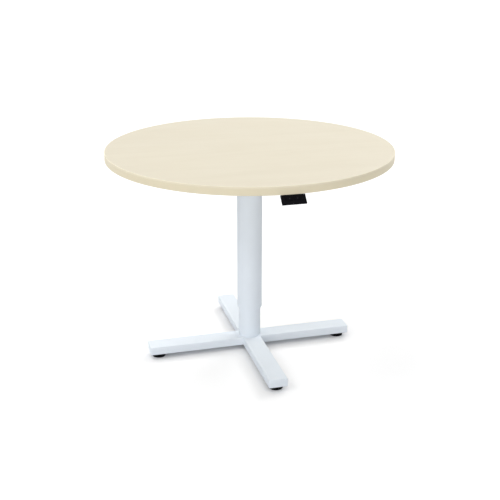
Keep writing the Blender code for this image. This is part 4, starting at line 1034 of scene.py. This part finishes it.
def make_motor():
    """The motor's drawn can with its crimped end, and the moulded cap behind it."""
    low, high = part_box("motor_can")
    radius = (high[2] - low[2]) / 2
    length = high[0] - low[0]
    nose = 0.009
    dish = 0.0003
    bend = 0.003
    crimp = length - 0.009
    groove = radius - 0.0011
    sides = 96
    profile = (
        [(nose, dish), (radius - 0.004, dish)]
        + arc((radius - bend, bend), bend, -90, 0, 5)
        + [(radius, crimp - 0.003), (groove, crimp - 0.0016), (groove, crimp - 0.0008)]
        + [(radius, crimp + 0.0006)]
        + arc((radius - bend, length - bend), bend, 0, 90, 5)
        + [(radius - bend * 2, length)]
    )
    can = lathe("motor_drawn_can", profile, sides, "caps")
    place = middle("motor_can")
    place_turned(can, (low[0], place.y, place.z), (0, math.pi / 2, 0))
    dress(can, "column_top", finish_of("motor"), "zinc_steel", "motor_can")
    cap = from_solid("motor_cap", "motor_moulded_cap", rounding=0.0004)
    dress(cap, "column_top", finish_of("black"), "black_plastic", "motor_cap")


def make_control_box():
    """The control box with its lid, its mains inlet and the screws through the lid's ears."""
    shell = from_solid("control_box_shell", "control_box_tray", sizes().box_rounding)
    dress(shell, "column_top", finish_of("black"), "black_plastic", "control_box_shell")
    lid = from_solid("control_box_plate", "control_box_lid", rounding=0.0003)
    dress(lid, "column_top", finish_of("zinc"), "zinc_steel", "control_box_plate")
    inlet = from_solid("mains_inlet", "mains_inlet_socket", rounding=0.0003)
    dress(inlet, "column_top", finish_of("black"), "black_plastic", "mains_inlet")
    low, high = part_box("control_box_plate")
    ear = 0.008
    offset = 0.020
    across = (low[0] + ear, high[0] - ear)
    centre = middle("control_box_plate").y
    places = [(x, centre + y, low[2]) for x in across for y in (-offset, offset)]
    spread_screws("lid_screw", places, radius=0.0042, height=0.0022, socket=0.0016)
    make_pins()
    paint(finish_of("circuit"), "control_board")


def make_pins():
    """Bright sleeves over the inlet's three pins, with the earth pin above the other two."""
    back_wall = 0.0035
    pin_length = 0.0100
    skin = 0.00008
    half = Vector((0, 0.001 + skin, 0.002 + skin))
    spacing = 0.007
    rise = 0.0021
    centre = middle("mains_inlet")
    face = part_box("mains_inlet")[1][0] - back_wall
    root = face - 0.0002
    tip = face - pin_length - skin
    spots = ((-spacing, -rise), (0.0, rise), (spacing, -rise))
    for number, (y, z) in enumerate(spots, 1):
        low = Vector((tip, centre.y + y, centre.z + z)) - half
        high = Vector((root, centre.y + y, centre.z + z)) + half
        piece = block(f"inlet_pin_{number}", low, high)
        ease_all_edges(piece, rounding=0.0003)
        dress(piece, "column_top", finish_of("steel"), "plain_steel")


def make_hand_panel():
    """The hand panel under the front edge, with its two keys."""
    shell = from_solid("panel_shell", "hand_panel_housing", rounding=0.0005)
    dress(shell, "column_top", finish_of("black"), "black_plastic", "panel_shell")
    for node, point_up in (("button_up", True), ("button_down", False)):
        key = from_solid(node, f"{node}_key", rounding=0.0004)
        dress(key, node, finish_of("black"), "black_plastic", node)
        make_arrow(node, point_up)
    paint(finish_of("zinc"), "panel_plate")
    paint(finish_of("circuit"), "panel_board")


def panel_outward():
    """The way that the hand panel's sloped front faces."""
    return Vector((0, -math.sin(PANEL_SLOPE), math.cos(PANEL_SLOPE)))


def make_arrow(node, point_up):
    """A raised triangle on a key, pointing up or down."""
    raised = 0.00005
    place = Matrix.Translation(key_surface(node) + panel_outward() * raised)
    turn = Matrix.Rotation(0 if point_up else math.pi, 4, "Z")
    add = bpy.ops.mesh.primitive_cylinder_add
    piece = start(add, f"{node}_arrow", vertices=3, radius=0.0026, depth=0.0004)
    piece.matrix_world = place @ Matrix.Rotation(PANEL_SLOPE, 4, "X") @ turn
    settle(piece)
    dress(piece, node, finish_of("mark"), "grey_plastic")


def key_surface(node):
    """The middle of a key's outer face, on the panel's sloped front."""
    outward = panel_outward()
    corners = [Vector(vertex.co) for vertex in NODES[node].data.vertices]
    height = max(corner.dot(outward) for corner in corners)
    face = [corner for corner in corners if corner.dot(outward) > height - MERGE_DISTANCE]
    total = Vector()
    for corner in face:
        total += corner
    return total / len(face)


def dress_inner_pieces():
    """The pieces inside the column, the base and the gear keep their solids and get their finishes."""
    paint(finish_of("slide"), "upper_guide_bush", "lower_guide_ring")
    paint(finish_of("nut"), "spindle_nut")
    paint(finish_of("steel"), "foot_plate", "nut_carrier", "spindle", "bearing_inner_ring")
    paint(finish_of("steel"), "bearing_outer_ring", "worm_shaft")
    paint(finish_of("bronze"), "worm_wheel")
    for quarter in QUARTERS:
        paint(finish_of("steel"), f"bolt_sleeve_{quarter}")
    for side in SIDES:
        paint(finish_of("zinc"), f"glide_nut_{side}", f"glide_stud_{side}")


# Studio
def seen_by_camera(tree):
    """One for rays that show the background: straight from the camera, mirrored or through glass."""
    path = tree.nodes.new("ShaderNodeLightPath")
    first = add_math(tree, "MAXIMUM", path.outputs["Is Camera Ray"], path.outputs["Is Glossy Ray"])
    return add_math(tree, "MAXIMUM", first, path.outputs["Is Transmission Ray"])


def make_floor():
    """A wide pale sweep that keeps the table's soft shadow.

    Its lightening is seen by the camera alone and fades away near the table.
    """
    width = 300
    paper_colour = (0.760, 0.764, 0.776, 1)
    floor = start(bpy.ops.mesh.primitive_plane_add, "studio_floor", size=width, location=(0, 0, 0))
    material = bpy.data.materials.new("studio_white")
    material.use_nodes = True
    tree = material.node_tree
    tree.nodes.clear()
    out = tree.nodes.new("ShaderNodeOutputMaterial")
    paper = tree.nodes.new("ShaderNodeBsdfDiffuse")
    paper.inputs["Color"].default_value = paper_colour
    glow = tree.nodes.new("ShaderNodeEmission")
    glow.inputs["Color"].default_value = (1, 1, 1, 1)
    openness = tree.nodes.new("ShaderNodeAmbientOcclusion")
    openness.inputs["Distance"].default_value = studio().contact_reach
    seen = add_math(tree, "MULTIPLY", seen_by_camera(tree), openness.outputs["AO"])
    tree.links.new(add_math(tree, "MULTIPLY", seen, studio().floor_lift), glow.inputs["Strength"])
    both = tree.nodes.new("ShaderNodeAddShader")
    tree.links.new(paper.outputs["BSDF"], both.inputs[0])
    tree.links.new(glow.outputs["Emission"], both.inputs[1])
    tree.links.new(both.outputs["Shader"], out.inputs["Surface"])
    floor.data.materials.append(material)


def make_world():
    """An even pale room, white where the camera sees it."""
    world = bpy.data.worlds.new("studio_room")
    bpy.context.scene.world = world
    world.use_nodes = True
    tree = world.node_tree
    tree.nodes.clear()
    out = tree.nodes.new("ShaderNodeOutputWorld")
    room = tree.nodes.new("ShaderNodeBackground")
    room.inputs["Color"].default_value = (1, 1, 1, 1)
    room.inputs["Strength"].default_value = studio().room_light
    white = tree.nodes.new("ShaderNodeBackground")
    white.inputs["Color"].default_value = (1, 1, 1, 1)
    white.inputs["Strength"].default_value = 1.0
    choice = tree.nodes.new("ShaderNodeMixShader")
    tree.links.new(seen_by_camera(tree), choice.inputs["Fac"])
    tree.links.new(room.outputs["Background"], choice.inputs[1])
    tree.links.new(white.outputs["Background"], choice.inputs[2])
    tree.links.new(choice.outputs["Shader"], out.inputs["Surface"])


# A ring of soft lamps that reach in under the top: name, bearing from the front, height and share of light.
LAMPS = (
    ("left_high", -115, 68, 0.211),
    ("left", -80, 42, 0.211),
    ("left_low", -60, 8, 0.108),
    ("front_low", -20, 8, 0.214),
    ("front", 0, 42, 0.208),
    ("right_high", 45, 68, 0.124),
    ("back_right", 130, 42, 0.491),
    ("back_left", -150, 54, 0.233),
)


def make_lights():
    """The ring of lamps. A share of one lights a white face that is turned to the lamp to full white."""
    for name, bearing, height, share in LAMPS:
        lamp = bpy.data.lights.new(f"{name}_lamp", "SUN")
        lamp.energy = math.pi * share * studio().light_level
        lamp.angle = studio().lamp_softness
        holder = bpy.data.objects.new(f"{name}_lamp", lamp)
        bpy.context.scene.collection.objects.link(holder)
        around = Matrix.Rotation(math.radians(bearing), 3, "Z")
        tilt = Matrix.Rotation(math.radians(90 - height), 3, "X")
        holder.rotation_euler = (around @ tilt).to_euler()


def make_camera():
    """The photograph's viewpoint."""
    settings = studio()
    lens = bpy.data.cameras.new("photo_camera")
    lens.lens = settings.camera_lens
    lens.sensor_width = 36
    camera = bpy.data.objects.new("photo_camera", lens)
    bpy.context.scene.collection.objects.link(camera)
    camera.location = settings.camera_place
    camera.rotation_euler = (settings.camera_pitch, 0, settings.camera_yaw)
    bpy.context.scene.camera = camera


# Operators
class TABLE_OT_stage(bpy.types.Operator):
    """Set up the floor, the room, the lamps and the camera"""

    bl_idname = "table.stage"
    bl_label = "Set Up Studio"

    def execute(self, context):
        make_camera()
        make_floor()
        make_world()
        make_lights()
        context.scene.view_settings.view_transform = "Standard"
        return {"FINISHED"}


class TABLE_OT_tabletop(bpy.types.Operator):
    """Model the tabletop and its edge band"""

    bl_idname = "table.tabletop"
    bl_label = "Tabletop"

    def execute(self, context):
        make_board()
        make_band()
        return {"FINISHED"}


class TABLE_OT_column(bpy.types.Operator):
    """Model the column's two tubes"""

    bl_idname = "table.column"
    bl_label = "Column"

    def execute(self, context):
        make_tube("upper_tube", "upper_tube_coated", "column_top", wall=0.002)
        make_tube("lower_tube", "lower_tube_coated", "base", wall=0.0025)
        return {"FINISHED"}


class TABLE_OT_base(bpy.types.Operator):
    """Model the cross base, its bolts and its feet"""

    bl_idname = "table.base"
    bl_label = "Base"

    def execute(self, context):
        make_base()
        make_foot_bolts()
        make_feet()
        return {"FINISHED"}


class TABLE_OT_rails(bpy.types.Operator):
    """Model the rails that carry the top"""

    bl_idname = "table.rails"
    bl_label = "Rails"

    def execute(self, context):
        make_rails()
        return {"FINISHED"}


class TABLE_OT_drive(bpy.types.Operator):
    """Model the gear housing and the motor"""

    bl_idname = "table.drive"
    bl_label = "Drive"

    def execute(self, context):
        make_drive()
        dress_inner_pieces()
        return {"FINISHED"}


class TABLE_OT_control_box(bpy.types.Operator):
    """Model the control box and its mains inlet"""

    bl_idname = "table.control_box"
    bl_label = "Control Box"

    def execute(self, context):
        make_control_box()
        return {"FINISHED"}


class TABLE_OT_hand_panel(bpy.types.Operator):
    """Model the hand panel and its keys"""

    bl_idname = "table.hand_panel"
    bl_label = "Hand Panel"

    def execute(self, context):
        make_hand_panel()
        return {"FINISHED"}


OPERATORS = (
    TABLE_OT_stage,
    TABLE_OT_tabletop,
    TABLE_OT_column,
    TABLE_OT_base,
    TABLE_OT_rails,
    TABLE_OT_drive,
    TABLE_OT_control_box,
    TABLE_OT_hand_panel,
)


class TABLE_PT_looks(bpy.types.Panel):
    """The table's pieces and settings in the sidebar"""

    bl_idname = "TABLE_PT_looks"
    bl_label = "Conference Table"
    bl_space_type = "VIEW_3D"
    bl_region_type = "UI"
    bl_category = "Table"

    def draw(self, context):
        column = self.layout.column(align=True)
        for operator in OPERATORS:
            column.operator(operator.bl_idname)
        for group in (context.scene.table_sizes, context.scene.table_colours, context.scene.table_studio):
            box = self.layout.box()
            for name in group.__annotations__:
                box.prop(group, name)


SETTINGS = (
    ("table_sizes", TableSizes),
    ("table_colours", TableColours),
    ("table_studio", StudioSettings),
)


def register():
    for name, group in SETTINGS:
        bpy.utils.register_class(group)
        setattr(bpy.types.Scene, name, PointerProperty(type=group))
    for operator in OPERATORS:
        bpy.utils.register_class(operator)
    bpy.utils.register_class(TABLE_PT_looks)


def unregister():
    bpy.utils.unregister_class(TABLE_PT_looks)
    for operator in reversed(OPERATORS):
        bpy.utils.unregister_class(operator)
    for name, group in reversed(SETTINGS):
        delattr(bpy.types.Scene, name)
        bpy.utils.unregister_class(group)


def main():
    register()
    bpy.ops.table.stage()
    bpy.ops.table.tabletop()
    bpy.ops.table.column()
    bpy.ops.table.base()
    bpy.ops.table.rails()
    bpy.ops.table.drive()
    bpy.ops.table.control_box()
    bpy.ops.table.hand_panel()


if __name__ == "__main__":
    main()
